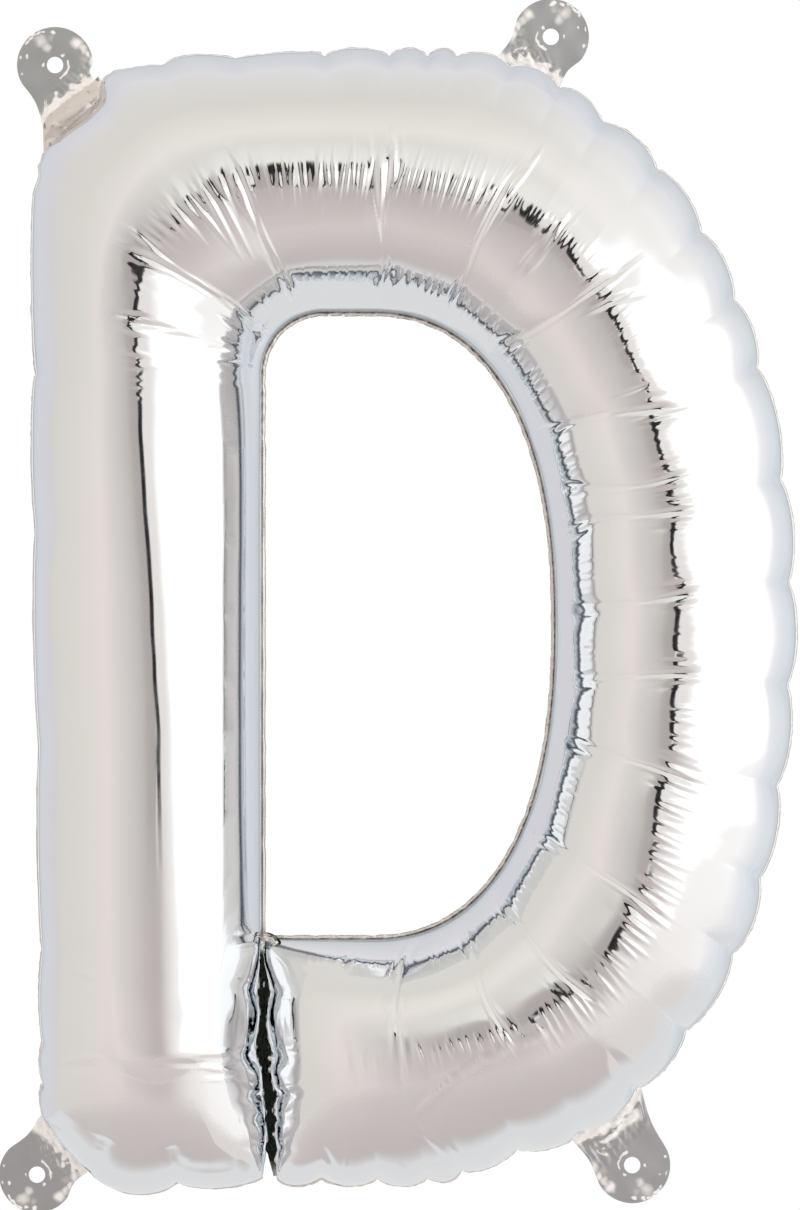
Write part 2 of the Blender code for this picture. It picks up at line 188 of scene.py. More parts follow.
# Leaf-shaped folds where a long crease crosses the crest: how many, how long, how wide
FOLDS_AT_CREASE = 5
FOLD_HALF_LENGTH = 11.5
FOLD_HALF_WIDTH = 0.95
FOLD_HEIGHT = 0.15
FOLD_SPREAD = 2.0

# The same at its end by the counter, and how far along the crease that is
FOLDS_AT_END = 3
END_FOLD_LENGTHS = (4.0, 6.0)
END_FOLD_HEIGHT = 0.34
END_FOLD_SPREAD = 1.7
END_FOLD_SHARE = 0.92

# Soft lines in the pillows, as pixels of the frame: depth and reach
SOFT_LINES = (
    (((500, 1052), (452, 1076), (424, 1098), (412, 1118)), 0.30, 2.4),
    (((100, 1050), (122, 1074), (155, 1086), (188, 1076), (212, 1050)), 0.45, 5.0),
    (((706, 950), (684, 1004), (650, 1052), (616, 1088)), -0.5, 3.5),
    (((105, 1138), (97, 1156), (89, 1174)), 1.6, 2.6),
    (((171, 1146), (176, 1164), (179, 1184)), 1.4, 2.4),
    (((232, 1168), (200, 1170), (180, 1166)), 0.4, 1.6),
    (((112, 1058), (150, 1056), (200, 1054), (252, 1056)), -0.95, 9.0),
)

# Furrows across the slit's walls where the lobes pinch: rows of the frame and depths, then
# their length in pixels and their reach
SLIT_PINCHES = ((992, 0.9), (1056, 1.3), (1095, 1.3), (1120, 0.9), (1148, 0.8))
SLIT_PINCH_LENGTH = 30
SLIT_PINCH_REACH = 1.1

# Folds drawn one by one: across and down for one tip and for the other, then half of the
# width and the height in millimetres
SINGLE_LEAN = 0.3
SINGLE_FOLDS = (
    # The fan round the upper left corner
    (226, 141, 248, 186, 1.0, 0.40), (228, 158, 252, 218, 1.2, 0.42), (232, 190, 262, 236, 1.0, 0.38),
    (244, 200, 286, 276, 0.9, 0.34), (190, 166, 243, 262, 1.1, 0.36), (216, 190, 254, 262, 1.0, 0.36),
    (124, 240, 176, 266, 1.0, 0.36), (104, 236, 152, 260, 0.9, 0.28), (150, 256, 226, 300, 0.8, 0.3),
    (196, 280, 272, 340, 0.9, 0.34), (158, 190, 210, 250, 1.0, 0.3), (150, 198, 200, 248, 0.9, 0.26),
    (176, 182, 240, 258, 0.9, 0.28), (120, 222, 152, 246, 0.8, 0.24), (262, 210, 374, 209, 0.5, 0.10),
    # Both walls of the slit
    (246, 1000, 244, 1052, 0.9, 0.40), (252, 1000, 251, 1050, 0.8, -0.34),
    (275, 1006, 278, 1052, 0.9, 0.40), (284, 1002, 290, 1052, 0.9, -0.30),
    (250, 1064, 262, 1090, 0.9, 0.36), (276, 1062, 282, 1086, 0.9, 0.36),
    (248, 1100, 262, 1118, 0.8, 0.34), (244, 1110, 252, 1160, 0.9, 0.34),
    (282, 1100, 284, 1150, 0.8, 0.34),
    # The stem beside the counter's upper left corner
    (106, 313, 152, 318, 1.0, -0.42), (124, 322, 178, 330, 1.1, -0.44),
    (156, 334, 198, 339, 0.9, -0.38), (196, 349, 236, 351, 0.7, -0.24), (112, 324, 148, 336, 0.8, 0.24),
    (117, 350, 150, 356, 0.7, 0.20), (220, 316, 252, 336, 0.9, -0.50), (226, 326, 260, 346, 0.9, 0.50),
    (222, 338, 256, 354, 0.9, -0.50), (224, 350, 254, 358, 0.8, 0.45), (218, 362, 260, 366, 1.0, -0.50),
    # The stem's foot
    (101, 1142, 94, 1168, 0.9, 0.50), (166, 1148, 172, 1178, 0.9, 0.50),
    (179, 1150, 186, 1180, 0.8, -0.50),
    # Across the pale band along the counter
    (244, 310, 277, 342, 1.0, 0.85), (238, 312, 270, 345, 0.9, -0.70), (284, 276, 306, 312, 1.0, 0.85),
    (278, 280, 300, 314, 0.9, -0.70), (464, 274, 446, 316, 1.0, 0.85), (457, 280, 442, 316, 0.9, -0.70),
    (374, 280, 379, 306, 0.9, 0.60),
    # The crest at the upper right
    (571, 302, 629, 268, 1.2, -0.44), (580, 317, 636, 290, 1.2, -0.46),
    (596, 282, 640, 254, 0.9, -0.32), (612, 300, 652, 294, 0.8, -0.26),
    (609, 399, 652, 384, 0.9, -0.36), (606, 417, 672, 403, 1.1, -0.42),
    (650, 416, 691, 406, 0.9, -0.34),
    # The top bar and the shoulder
    (390, 124, 394, 184, 1.7, 0.62), (379, 146, 382, 224, 1.6, 0.60), (369, 130, 372, 170, 0.8, 0.26),
    (371, 194, 383, 268, 1.0, 0.42), (401, 128, 405, 176, 0.8, 0.26), (544, 146, 508, 196, 1.2, 0.42),
    (530, 158, 498, 196, 1.1, 0.36), (506, 192, 478, 244, 0.8, 0.30), (566, 216, 548, 248, 0.8, 0.26),
    # The stem's left side
    (43, 957, 67, 963, 0.8, 0.30), (66, 969, 99, 978, 0.9, 0.26), (41, 1069, 78, 1059, 1.0, 0.42),
    (50, 1061, 106, 1057, 0.9, 0.26), (58, 1071, 102, 1066, 0.8, -0.26),
    (44, 1121, 66, 1131, 0.8, -0.42),
    # Faint straight lines
    (99, 896, 99, 963, 0.6, 0.07), (91, 735, 91, 835, 0.6, 0.05), (563, 350, 580, 382, 0.6, 0.10),
    (624, 700, 623, 742, 0.6, 0.09),
    # The crease above the stem's foot
    (192, 1053, 236, 1052, 1.0, 0.50), (222, 1067, 259, 1059, 1.3, -0.60),
    (194, 1066, 240, 1072, 1.0, 0.50), (200, 1080, 238, 1079, 0.8, 0.34),
    (150, 1063, 214, 1064, 0.8, -0.30),
    # The counter's lower left corner and the bowl's end
    (228, 932, 258, 923, 0.8, 0.40), (232, 939, 259, 932, 0.8, -0.40), (232, 946, 262, 940, 0.8, 0.42),
    (240, 952, 262, 947, 0.8, -0.36), (272, 1090, 308, 1084, 1.1, 0.60),
    (270, 1099, 306, 1091, 1.0, -0.50),
    # The lower bowl
    (412, 934, 384, 988, 0.9, 0.40), (402, 984, 392, 1038, 1.0, 0.38),
    (402, 944, 374, 1016, 0.7, -0.28), (392, 990, 382, 1032, 0.7, 0.24),
    (334, 966, 342, 950, 0.6, 0.30), (342, 966, 350, 951, 0.6, -0.30), (349, 966, 358, 953, 0.6, 0.30),
    (412, 1121, 450, 1160, 0.8, 0.50), (424, 1124, 448, 1156, 0.7, 0.44),
    (446, 1142, 466, 1165, 0.7, 0.40), (408, 1123, 446, 1085, 1.0, 0.50),
    (430, 1100, 480, 1058, 1.0, 0.55), (464, 1068, 518, 1044, 1.0, 0.55),
    (502, 1050, 562, 1026, 1.0, 0.45), (395, 1164, 418, 1178, 0.7, 0.28),
    (320, 1143, 342, 1187, 1.2, -0.60), (350, 1140, 342, 1186, 1.0, 0.50),
    # The edge at the upper right
    (530, 84, 560, 100, 0.8, 0.28), (553, 74, 566, 108, 1.0, 0.44), (545, 72, 556, 98, 0.8, -0.32),
    (506, 92, 541, 91, 0.6, -0.20), (558, 112, 602, 134, 0.8, 0.26),
)

# Fine pleats on the crest, from one point of it to another: the pitch, half of the length
# and of the width, the height, and how far outside the crest they sit, in millimetres
CREST_PLEATS = (
    ((141, 262), (142, 300), 2.6, 4.0, 1.0, 0.05, 0.0),
    ((143, 345), (144, 400), 2.6, 4.0, 0.9, 0.045, 0.0),
    ((146, 250), (262, 172), 2.7, 7.5, 1.0, 0.23, -1.0),
    ((262, 172), (372, 174), 1.9, 11.5, 0.8, 0.17, 0.5),
    ((396, 174), (505, 190), 2.0, 11.5, 0.8, 0.15, 0.5),
    ((512, 192), (612, 290), 1.6, 3.0, 0.85, 0.055, -1.0),
    ((614, 300), (654, 402), 3.0, 6.0, 1.1, 0.05, 0.0),
    ((658, 412), (680, 690), 2.3, 6.0, 0.95, 0.03, 0.0),
    ((681, 700), (668, 780), 2.7, 8.5, 1.15, 0.08, -4.0),
    ((668, 785), (628, 900), 2.6, 8.0, 1.15, 0.10, -4.0),
    ((622, 915), (520, 1020), 2.5, 7.2, 1.15, 0.15, -4.0),
    ((515, 1025), (410, 1034), 2.4, 4.2, 0.8, 0.16, 0.0),
    ((395, 1032), (330, 1030), 3.5, 4.5, 0.8, 0.07, 0.0),
)

# Pleats along the counter, measured the same way, with their distance from its edge
COUNTER_PLEATS = (
    ((262, 345), (262, 390), 2.2, 4.5, 0.9, 0.22, 9.0),
    ((276, 330), (300, 315), 2.2, 4.0, 0.9, 0.18, 8.0),
    ((303, 314), (366, 313), 1.7, 2.6, 0.8, 0.07, 11.0),
    ((368, 313), (452, 318), 2.3, 5.0, 1.05, 0.30, 9.5),
    ((455, 320), (536, 430), 2.3, 4.4, 1.0, 0.24, 8.5),
    ((537, 432), (559, 620), 2.1, 4.0, 0.95, 0.13, 8.5),
    ((559, 620), (536, 830), 2.3, 4.0, 0.95, 0.12, 8.5),
    ((534, 835), (465, 905), 2.2, 3.6, 0.95, 0.11, 8.5),
    ((462, 907), (410, 925), 2.0, 3.0, 0.9, 0.08, 8.5),
    ((408, 925), (300, 934), 1.7, 2.2, 0.8, 0.07, 6.5),
)
PLEAT_JITTER = 0.35
PLEAT_TURN = 7.0

# Folds that run in from the outer seam at each pleat of the outline
SEAM_FOLD_REACH = 17.0
SEAM_FOLD_DEPTH = 1.3
SEAM_FOLD_WIDTH = 3.2

# The inner flank of the tube is flatter than a true oval, because the foil is taut there
FLANK_DROP = 0.9
FLANK_TOP = 16.0
FLANK_FOOT = 8.6

# A ridge that follows the outer seam, where the foil turns down to its edge: how far inside
# the seam, how far that drifts, its height and its reach
EDGE_BAND = 7.4
EDGE_DRIFT = 0.7
EDGE_RIDGE = 0.42
EDGE_REACH = 3.5

# How far the crest leans towards the counter, as a share of the tube's height: by how far
# down the stem, and by the angle round the corner's centre for the rest of the letter
STEM_LEANS = ((99.0, -0.09), (110.0, -0.06), (168.0, 0.057), (198.0, 0.085))
TURN_LEANS = (
    (-100.0, 0.10), (-80.0, 0.09), (-72.0, 0.0), (-65.0, -0.08), (-57.0, -0.12), (-47.0, -0.02),
    (-38.0, 0.0), (-10.0, 0.0), (15.0, -0.04), (40.0, -0.085), (62.0, -0.02), (78.0, 0.0),
    (105.0, -0.07), (140.0, -0.11), (155.0, -0.15), (168.0, -0.16), (180.0, -0.09),
)

# Slow dents all over the foil, calmer on the stem: their height, how much of it the stem
# keeps, the number of waves and the longest and the shortest
DENT_HEIGHT = 0.026
STEM_CALM = 0.35
DENT_WAVES = 60
DENT_LENGTHS = (34.0, 9.0)

# How far from a seam, or from the slit, every fold has died away
SEAM_FADE = 2.6
SLIT_FADE = 0.8

# Close to the counter's seam the foil has painted shade: a dark band, which the foil mirrors as a dark
# line
SEAM_SHADE_FROM = 4.0
FRONT_SEAM_SHADE = (0.7, 1.8)
BACK_SEAM_SHADE = (5.5, 8.0)

# Faint painted shade down the stem's inner side: where it is strongest, its reach and its depth
STEM_SHADE_MIDDLE = 3.2
STEM_SHADE_WIDTH = 2.6
STEM_SHADE_DEPTH = 0.13

# Rims: how far they stand out of the letter and reach in, their points across, the height
# of their beads and crimps, how far their edge wanders, and where the weld's line runs
OUTER_RIM = (-0.6, 1.6)
COUNTER_RIM = (-1.15, 1.6)
RIM_ACROSS = 10
RIM_BEAD = 0.08
RIM_CRIMP = 0.03
RIM_WOBBLE = 0.08
RIM_LINE = (0.22, 0.05)

# Hanging tabs: how far their necks sag, the painted highlight strip where they join the letter,
# and the points round and out from the hole
TAB_RADIUS = 11.6
TAB_HOLE_RADIUS = 2.5
TAB_NECK_SAG = 1.2
TAB_HIGHLIGHT_STRIP = 3.2
TAB_TURNS = 160
TAB_RINGS = 44

# How far outside the letter's edge the tabs and the valve start
HANGING_GAP = 0.2

# Each tab's hole, where its sides meet the letter, and how it is mirrored against the first
TABS = {
    "top_left": ((-75.0, -4.6), ((-77.6, -19.8), (-63.0, -7.0)), (1, 1)),
    "top_right": ((76.2, 4.0), ((59.8, -1.5), (79.6, -14.6)), (-1, 1)),
    "bottom_left": ((-80.5, -343.0), ((-64.8, -341.8), (-80.0, -324.6)), (1, -1)),
    "bottom_right": ((101.0, -340.1), ((104.3, -317.8), (83.0, -333.4)), (-1, -1)),
}

# Painted highlights (glints) on a tab, from its hole: middle, radii, turn in degrees, softness and
# strength. A negative strength is a fleck of painted shade. The warp is how far crinkles pull them about
GLINT_WARP = 0.16
GLINTS = (
    ((-6.6, 9.3), (0.75, 0.4), 30, 0.2, 1.0), ((-5.2, 9.8), (0.8, 0.4), 15, 0.2, 1.0),
    ((-3.4, 10.0), (0.7, 0.45), 10, 0.2, 1.0), ((-0.7, 10.1), (0.9, 0.65), -15, 0.2, 1.0),
    ((-7.4, 8.0), (1.0, 0.45), 40, 0.2, 1.0), ((-8.5, 6.7), (0.45, 0.7), -30, 0.2, 0.9),
    ((-4.3, 7.3), (1.9, 1.5), -30, 0.9, 0.75), ((-2.5, 5.2), (1.1, 1.3), 20, 0.8, 0.75),
    ((-1.2, 8.2), (1.0, 1.2), 0, 0.9, 0.35), ((6.7, 6.7), (1.6, 1.5), -40, 0.8, 1.0),
    ((8.6, 5.0), (1.0, 1.3), 20, 0.7, 0.8), ((10.0, 3.4), (0.8, 1.3), 15, 0.5, 0.9),
    ((11.4, 0.6), (0.9, 1.7), 10, 0.7, 0.95), ((8.9, 1.6), (1.6, 1.5), 0, 1.0, 0.3),
    ((9.1, 6.4), (0.42, 0.36), 0, 0.3, -0.8), ((-10.5, 2.4), (0.3, 0.7), -5, 0.2, 1.0),
    ((-8.3, 2.7), (0.4, 0.52), 0, 0.2, 1.0), ((-10.1, -2.8), (0.34, 0.42), 0, 0.2, 1.0),
    ((-3.7, 0.0), (0.32, 0.68), 0, 0.2, 1.0), ((2.2, 2.9), (0.5, 0.45), 0, 0.2, 0.9),
    ((3.0, 1.6), (0.4, 0.6), 25, 0.2, -0.9), ((3.1, -0.2), (0.34, 0.4), 0, 0.2, -0.7),
    ((2.5, -1.6), (0.4, 0.34), -30, 0.2, -0.7), ((0.2, 3.0), (1.3, 0.34), 0, 0.3, -0.6),
    ((7.9, -3.3), (0.5, 0.7), 30, 0.3, 0.9), ((9.4, -3.6), (1.0, 0.34), -25, 0.3, 0.9),
    ((10.9, -4.3), (0.8, 0.3), -30, 0.3, 0.9), ((8.4, -5.0), (0.5, 0.3), 20, 0.3, 0.9),
    ((9.6, -5.3), (2.0, 0.45), 18, 0.4, -0.75), ((11.0, -4.6), (0.9, 0.3), 10, 0.3, -0.6),
    ((10.9, -7.8), (0.8, 0.4), -5, 0.3, -0.8),
)
# A painted highlight arc round the hole: its radius, both ends in degrees and half of its width
GLINT_ARC = (4.2, -75.0, 25.0, 0.3)
# A painted highlight along the tab's base
BASE_GLINT = ((-3.0, -16.6), (2.4, -13.2), (6.4, -8.4), (10.6, -6.8))
BASE_GLINT_WIDTH = 1.0

# The inflation valve's outer edge, the part of the rim that it lies along, how far it
# overlaps that, and how far it swells
VALVE_OUTER = ((-78.6, -23.6), (-77.4, -20.0), (-71.0, -15.2), (-64.6, -10.9), (-61.7, -8.0))
VALVE_INNER = ((-80.6, -30.6), (-62.4, -10.0))
VALVE_OVERLAP = 2.2
VALVE_SWELL = 1.7
VALVE_ACROSS = 36
VALVE_ALONG = 110

# The foil's own shine, a little blue, which shows where it mirrors itself again and again
FOIL_COLOUR = (0.79, 0.815, 0.84)

# Every foil's colour, its colour where the shade is 1, which on the sheets, weld and loop is painted
# shade, its roughness in both and its grain
# The painted shade on both sheets, by the counter's seam and down the stem's inner side
SEAM_SHADE_COLOUR = (0.07, 0.08, 0.11)
RIM_FOIL = ((0.82, 0.81, 0.79), (0.22, 0.22, 0.20), 0.3, 0.4, 90.0)
FOILS = {
    "front_foil": (FOIL_COLOUR, SEAM_SHADE_COLOUR, 0.06, 0.3, 25.0),
    # The back foil is a brighter copy of the front's foil, painted light that lightens what the front
    # mirrors of it
    "back_foil": ((0.92, 0.94, 0.96), SEAM_SHADE_COLOUR, 0.06, 0.3, 25.0),
    "outer_rim": RIM_FOIL,
    "counter_rim": RIM_FOIL,
    "weld_foil": ((0.66, 0.67, 0.66), (0.012, 0.016, 0.014), 0.22, 0.18, 160.0),
    "weld_loop": ((0.72, 0.73, 0.72), (0.01, 0.01, 0.01), 0.2, 0.3, 120.0),
    "valve_film": ((0.72, 0.685, 0.665), (0.18, 0.17, 0.14), 0.26, 0.3, 60.0),
}

# The tabs' satin foil: its colour at each shade, from painted shade through its own grey to a painted
# white highlight, and its grain
TAB_GREY = (0.445, 0.462, 0.48)
TAB_TONES = ((0.0, (0.10, 0.10, 0.10)), (0.5, TAB_GREY), (0.56, TAB_GREY), (0.97, (1.0, 1.0, 1.0)))
TAB_GRAIN = 140.0

# The mesh attribute that marks painted shade, painted highlights and dark flecks and lines on the foils,
# and how cloudy every foil is
SHADE = "shade"
CLOUD_DEPTH = 0.985

# The light tent, as what the foil shows of it: degrees away from the camera, and colour
TENT_LEFT = (
    (4, "b2aca8"), (20, "c9c5c2"), (42, "e3dbd8"), (65, "dad6d0"), (96, "d6d2ce"), (106, "d2cfd2"),
    (118, "d1d0d6"), (134, "ced1d8"),
)
TENT_RIGHT = ((6, "dfdbd8"), (21, "f8f6f4"), (84, "fdfbfa"), (103, "e8e9ee"), (131, "d6dce2"))
TENT_UP = (
    (5, "c6c4be"), (14, "eaeae4"), (30, "dedbd5"), (42, "e7e3dd"), (70, "d8d5cf"), (94, "dbd9d6"),
    (108, "dddce0"),
)
TENT_DOWN = ((10, "bcb3b2"), (38, "d0c7c5"), (75, "c6beba"), (100, "c9ced2"), (130, "d3d9dd"))
# Past those, behind the balloon, every wall has the same panels
TENT_BEHIND = ((150, "c3c9cf"), (157, "9aa0a6"), (163, "f0f2f4"), (171, "dce0e4"), (176, "5f6368"))

# From here to the floor, a pair is a span in degrees: of azimuth to the right or elevation

# Close to the camera the left of the tent is darker than the right, with a clear edge
NEAR_LEFT = "aea7a5"
NEAR_RIGHT = "e6e2df"
NEAR_EDGE = (-0.6, 0.6)
NEAR_SIDES, NEAR_TOP, NEAR_FOOT = (4.0, 13.0), (7.0, 13.0), (-7.0, -4.0)

# The softbox at the right. Its left side follows the rightmost of three lines, each with a
# slope and a base, within two limits
BOX_LIGHT = (1.5, 1.45, 1.4, 1)
BOX_LEFT_LINES = ((-1.3, 12.0), (-7.0, -50.0), (1.75, 0.0))
BOX_LEFT_LIMITS = (5.0, 60.0)
BOX_LEFT_EDGE = (-4.0, 6.0)
BOX_RIGHT, BOX_TOP, BOX_FOOT = (84.0, 100.0), (22.0, 30.0), (-13.0, -9.5)

# The dark gap round the camera: where it widens and from what to what, the same for where
# it leans to the right, and its edge, top and foot
GAP_DARK = (0.006, 0.006, 0.008, 1)
GAP_WIDENS = (6.0, 7.6, 1.8, 3.4)
GAP_LEANS = (-6.0, -1.0, 4.5, 0.0)
GAP_EDGE, GAP_TOP, GAP_FOOT = (-0.3, 0.6), (12.0, 15.0), (-7.0, -3.5, 0.0, 0.98)

# The floor: its middle and radius in metres, where it thins out, and its paper's colour, which
# changes away from the middle, to the right and to the back: painted light, lighter outwards and to the
# right and bluer to the back
FLOOR_MIDDLE = (0.03, 0.2, -0.9)
FLOOR_RADIUS = 1.4
FLOOR_THINS = (0.9, 1.38)
PAPER = (0.72, 0.665, 0.655, 1)
PAPER_OUT = ((0.25, 1.35), (0.84, 0.79, 0.775, 1))
PAPER_RIGHT = ((0.50, 0.53), (0.97, 0.93, 0.915, 1))
PAPER_BACK = ((-0.38, -0.18), (0.95, 0.98, 1.0, 1))


def smooth(share):
    """Eases from 0 to 1 as share goes from 0 to 1."""
    share = np.clip(share, 0.0, 1.0)
    return share * share * (3 - 2 * share)


def superellipse(centre, radii, power, degrees):
    """Points at those many degrees clockwise from the top."""
    angle = np.radians(degrees)
    across, up = np.sin(angle), np.cos(angle)
    x = centre[0] + radii[0] * np.copysign(abs(across) ** (2 / power), across)
    z = centre[1] + radii[1] * np.copysign(abs(up) ** (2 / power), up)
    return np.stack([x, z], -1)


def slit_edge(z, side, calm=0.0):
    """The slit's left edge (side 1) or right edge (side 2), averaged that far up and down."""
    rows = np.array(SLIT_EDGES)
    down = (rows[:, 0] - PIXEL_ZERO[1]) * PIXEL
    edge = (rows[:, side] - PIXEL_ZERO[0]) * PIXEL
    shifts = calm * np.linspace(-1, 1, 9)
    return np.mean([np.interp(shift - z, down, edge) for shift in shifts], 0)


def stem_ribs(z):
    """Outer and inner ends of level ribs at those heights on the stem."""
    drift = smooth((DRIFT_TOP_Z - z) / (DRIFT_TOP_Z - DRIFT_BOTTOM_Z))
    left = STEM_LEFT_TOP + (STEM_LEFT_FOOT - STEM_LEFT_TOP) * drift
    right = np.where(z < SLIT_TOP_Z, slit_edge(z, 1, SLIT_CALM), STEM_RIGHT)
    return np.stack([left, z], -1), np.stack([right, z], -1)


def rays(turn):
    """Directions at those angles, from the right round to the left."""
    return np.stack([np.cos(turn), np.sin(turn)], -1)


def between(first, last, share):
    """A grid of points: those shares of the way from each point of a line to another line's."""
    return first[:, None] + (last - first)[:, None] * share[None, :, None]


def nearest_to(line, point):
    """The number of the line's point that is nearest to that one."""
    return int(np.argmin(np.linalg.norm(line - point, axis=1)))


def lengths(points):
    """How far along a polyline each of its points is."""
    steps = np.linalg.norm(np.diff(points, axis=0), axis=1)
    return np.concatenate([[0], np.cumsum(steps)])


def along(points, shares):
    """The points at those shares of a polyline's length."""
    length = lengths(points)
    at = np.asarray(shares) * length[-1]
    return np.stack([np.interp(at, length, points[:, k]) for k in range(2)], -1)


def corner_outline():
    """The outer edge from the stem's side to the top of the letter, as a polyline."""
    start = stem_ribs(np.array([ARC_CENTRE[1]]))[0][0]
    end = (ARC_CENTRE[0], OUTER_CENTRE[1] + OUTER_RADII[1])
    return np.array([start, *CORNER_POINTS, end])


def share_at_x(points, x):
    """The share of a polyline's length at its last point with that x."""
    length = lengths(points)
    after = next(k for k in range(len(points) - 1, 0, -1) if points[k - 1][0] <= x)
    part = (x - points[after - 1][0]) / (points[after][0] - points[after - 1][0])
    return (length[after - 1] * (1 - part) + length[after] * part) / length[-1]


def corner_ribs(share):
    """Ribs at those shares of the turn round the counter's upper left corner."""
    inner = np.array(ARC_CENTRE) + COUNTER_CORNER_RADIUS * rays(np.radians(180 - 90 * share))
    return along(corner_outline(), share), inner


def run_ribs(share, top):
    """Ribs of the straight run that joins the bowl to the stem, at the top or the bottom."""
    degrees = 0 if top else 180
    outer_end = superellipse(OUTER_CENTRE, OUTER_RADII, OUTER_POWER, degrees)
    inner_end = superellipse(COUNTER_CENTRE, COUNTER_RADII, COUNTER_POWER, degrees)
    start_x = ARC_CENTRE[0] if top else BOWL_END_X
    outer_start = np.array([start_x, outer_end[1]])
    inner_start = np.array([start_x, inner_end[1]])
    share = np.asarray(share)[:, None]
    outer = outer_start + (outer_end - outer_start) * share
    return outer, inner_start + (inner_end - inner_start) * share


def bowl_ribs(degrees):
    """Ribs at those degrees round the bowl, clockwise from the top."""
    outer = superellipse(OUTER_CENTRE, OUTER_RADII, OUTER_POWER, degrees)
    inner = superellipse(COUNTER_CENTRE, COUNTER_RADII, COUNTER_POWER, degrees)
    outwards = outer - inner
    outwards /= np.linalg.norm(outwards, axis=1)[:, None]
    for middle, width, amount in OUTER_SWELLS:
        outer = outer + outwards * (amount * np.exp(-(((degrees - middle) / width) ** 2)))[:, None]
    return outer, inner


def bulges(values, stops):
    """How far each value is into its lobe between two stops: 0 on a stop, 1 midway."""
    stops = np.sort(np.array(stops, float))
    lobe = np.clip(np.searchsorted(stops, values, side="right") - 1, 0, len(stops) - 2)
    share = (values - stops[lobe]) / (stops[lobe + 1] - stops[lobe])
    return np.sin(np.pi * np.clip(share, 0, 1))


def evenly(first, last, count):
    """Values from first towards last, without last."""
    return first + (last - first) * np.arange(count) / count


def into_end(reach):
    """Distances that crowd towards an end of the tube, where the foil turns steeply."""
    return reach * (np.arange(END_STEPS) / END_STEPS) ** END_POWER


def tube_ribs(fineness):
    """Every rib from the stem's foot to the bowl's end, its pleat depth and its bulge.

    Fineness 1 is the front's own spacing, and less is coarser.
    """
    pieces = []

    def add(ribs, depth, values, stops):
        outer, inner = ribs
        pieces.append((outer, inner, np.full(len(values), depth), bulges(values, stops)))

    plain_share = max(fineness, PLAIN_FINENESS)
    stem = [
        FOOT_Z + into_end(END_REACH),
        evenly(FOOT_Z + END_REACH, SLIT_TOP_Z, int(FOOT_LENGTH / MIDDLING * fineness)),
        evenly(SLIT_TOP_Z, PLAIN_TOP_Z, int(PLAIN_LENGTH / WIDE * plain_share)),
        evenly(PLAIN_TOP_Z, ARC_CENTRE[1], int(NECK_LENGTH / FINE * fineness)),
    ]
    stem = np.concatenate(stem)
    add(stem_ribs(stem), STEM_PLEAT_DEPTH, stem, (FOOT_Z, *STEM_PLEATS, ARC_CENTRE[1]))
    corner = evenly(0.0, 1.0, int(CORNER_LENGTH / MIDDLING * fineness))
    corner_stops = [share_at_x(corner_outline(), x) for x in CORNER_PLEATS]
    add(corner_ribs(corner), CORNER_PLEAT_DEPTH, corner, (0, *corner_stops, 1))
    top = evenly(0.0, 1.0, int(TOP_RUN_LENGTH / FINE * fineness))
    add(run_ribs(top, True), BOWL_PLEAT_DEPTH, top, (0, *TOP_RUN_PLEATS, 1))
    bowl = evenly(0.0, 180.0, int(BOWL_LENGTH / FINE * fineness))
    add(bowl_ribs(bowl), BOWL_PLEAT_DEPTH, bowl, (0, *BOWL_PLEATS, 180))
    end_share = END_REACH / (OUTER_CENTRE[0] - BOWL_END_X)
    closing = end_share * (1 - np.arange(END_STEPS + 1) / END_STEPS) ** END_POWER
    end = np.concatenate([evenly(1.0, end_share, int(END_LENGTH / MIDDLING * fineness)), closing])
    add(run_ribs(end, False), BOWL_PLEAT_DEPTH, end, (0, *END_PLEATS, 1))
    return [np.concatenate(parts) for parts in zip(*pieces)]


def foot_edge(x):
    """The height of the stem's lobed foot at each x."""
    points = FOOT_POINTS
    edge = np.zeros_like(x)
    for lobe in range(len(points) - 1):
        left, right = points[lobe], points[lobe + 1]
        here = x > left[0] if lobe else x > -np.inf
        share = np.clip((x - left[0]) / (right[0] - left[0]), 0, 1)
        chord = left[1] + (right[1] - left[1]) * share
        bulge = FOOT_BULGES[lobe] * np.sin(np.pi * share) ** 0.7
        edge = np.where(here, chord - bulge, edge)
    return edge


def with_foot(plane):
    """The plane's points, moved so that the stem's square end becomes its lobed foot."""
    x, z = plane[..., 0], plane[..., 1]
    fade = np.clip(1 - (z - FOOT_Z) / FOOT_REACH, 0, None)
    fade = np.where(x > BOWL_END_X - 0.2, 0, fade)
    return np.stack([x, z + (foot_edge(x) - FOOT_Z) * fade * fade], -1)


def with_slit(plane):
    """The plane's points, with the bowl's straight end drawn to the slit's right edge."""
    x, z = plane[..., 0], plane[..., 1]
    fade = np.clip(1 - (x - BOWL_END_X) / SLIT_REACH, 0, 1)
    fade = np.where((x > BOWL_END_X - 0.01) & (z < COUNTER_BOTTOM + 0.1), fade, 0)
    return np.stack([x + (slit_edge(z, 2, SLIT_CALM) - BOWL_END_X) * fade * fade, z], -1)


def across_shares(across):
    """Shares of a rib's length, closer together near both of its ends."""
    even = np.arange(across + 1) / across
    return (1 - EDGE_CROWDING) * even + EDGE_CROWDING * (1 - np.cos(np.pi * even)) / 2


def plane_grid(ribs, across):
    """The sheet's points in the seam's plane, as ribs by points across."""
    outer, inner, depth, bulge = ribs
    inward = (inner - outer) / np.linalg.norm(inner - outer, axis=1)[:, None]
    outer = outer + inward * (depth * (1 - bulge**PLEAT_POWER))[:, None]
    return with_slit(with_foot(between(outer, inner, across_shares(across))))


def cells(rows, columns, closed=False):
    """The corner numbers of each cell of a grid, whose last row may join its first one."""
    number = np.arange(rows * columns).reshape(rows, columns)
    here, after = (number, np.roll(number, -1, 0)) if closed else (number[:-1], number[1:])
    corners = [here[:, :-1], after[:, :-1], after[:, 1:], here[:, 1:]]
    return np.stack([corner.ravel() for corner in corners], 1)


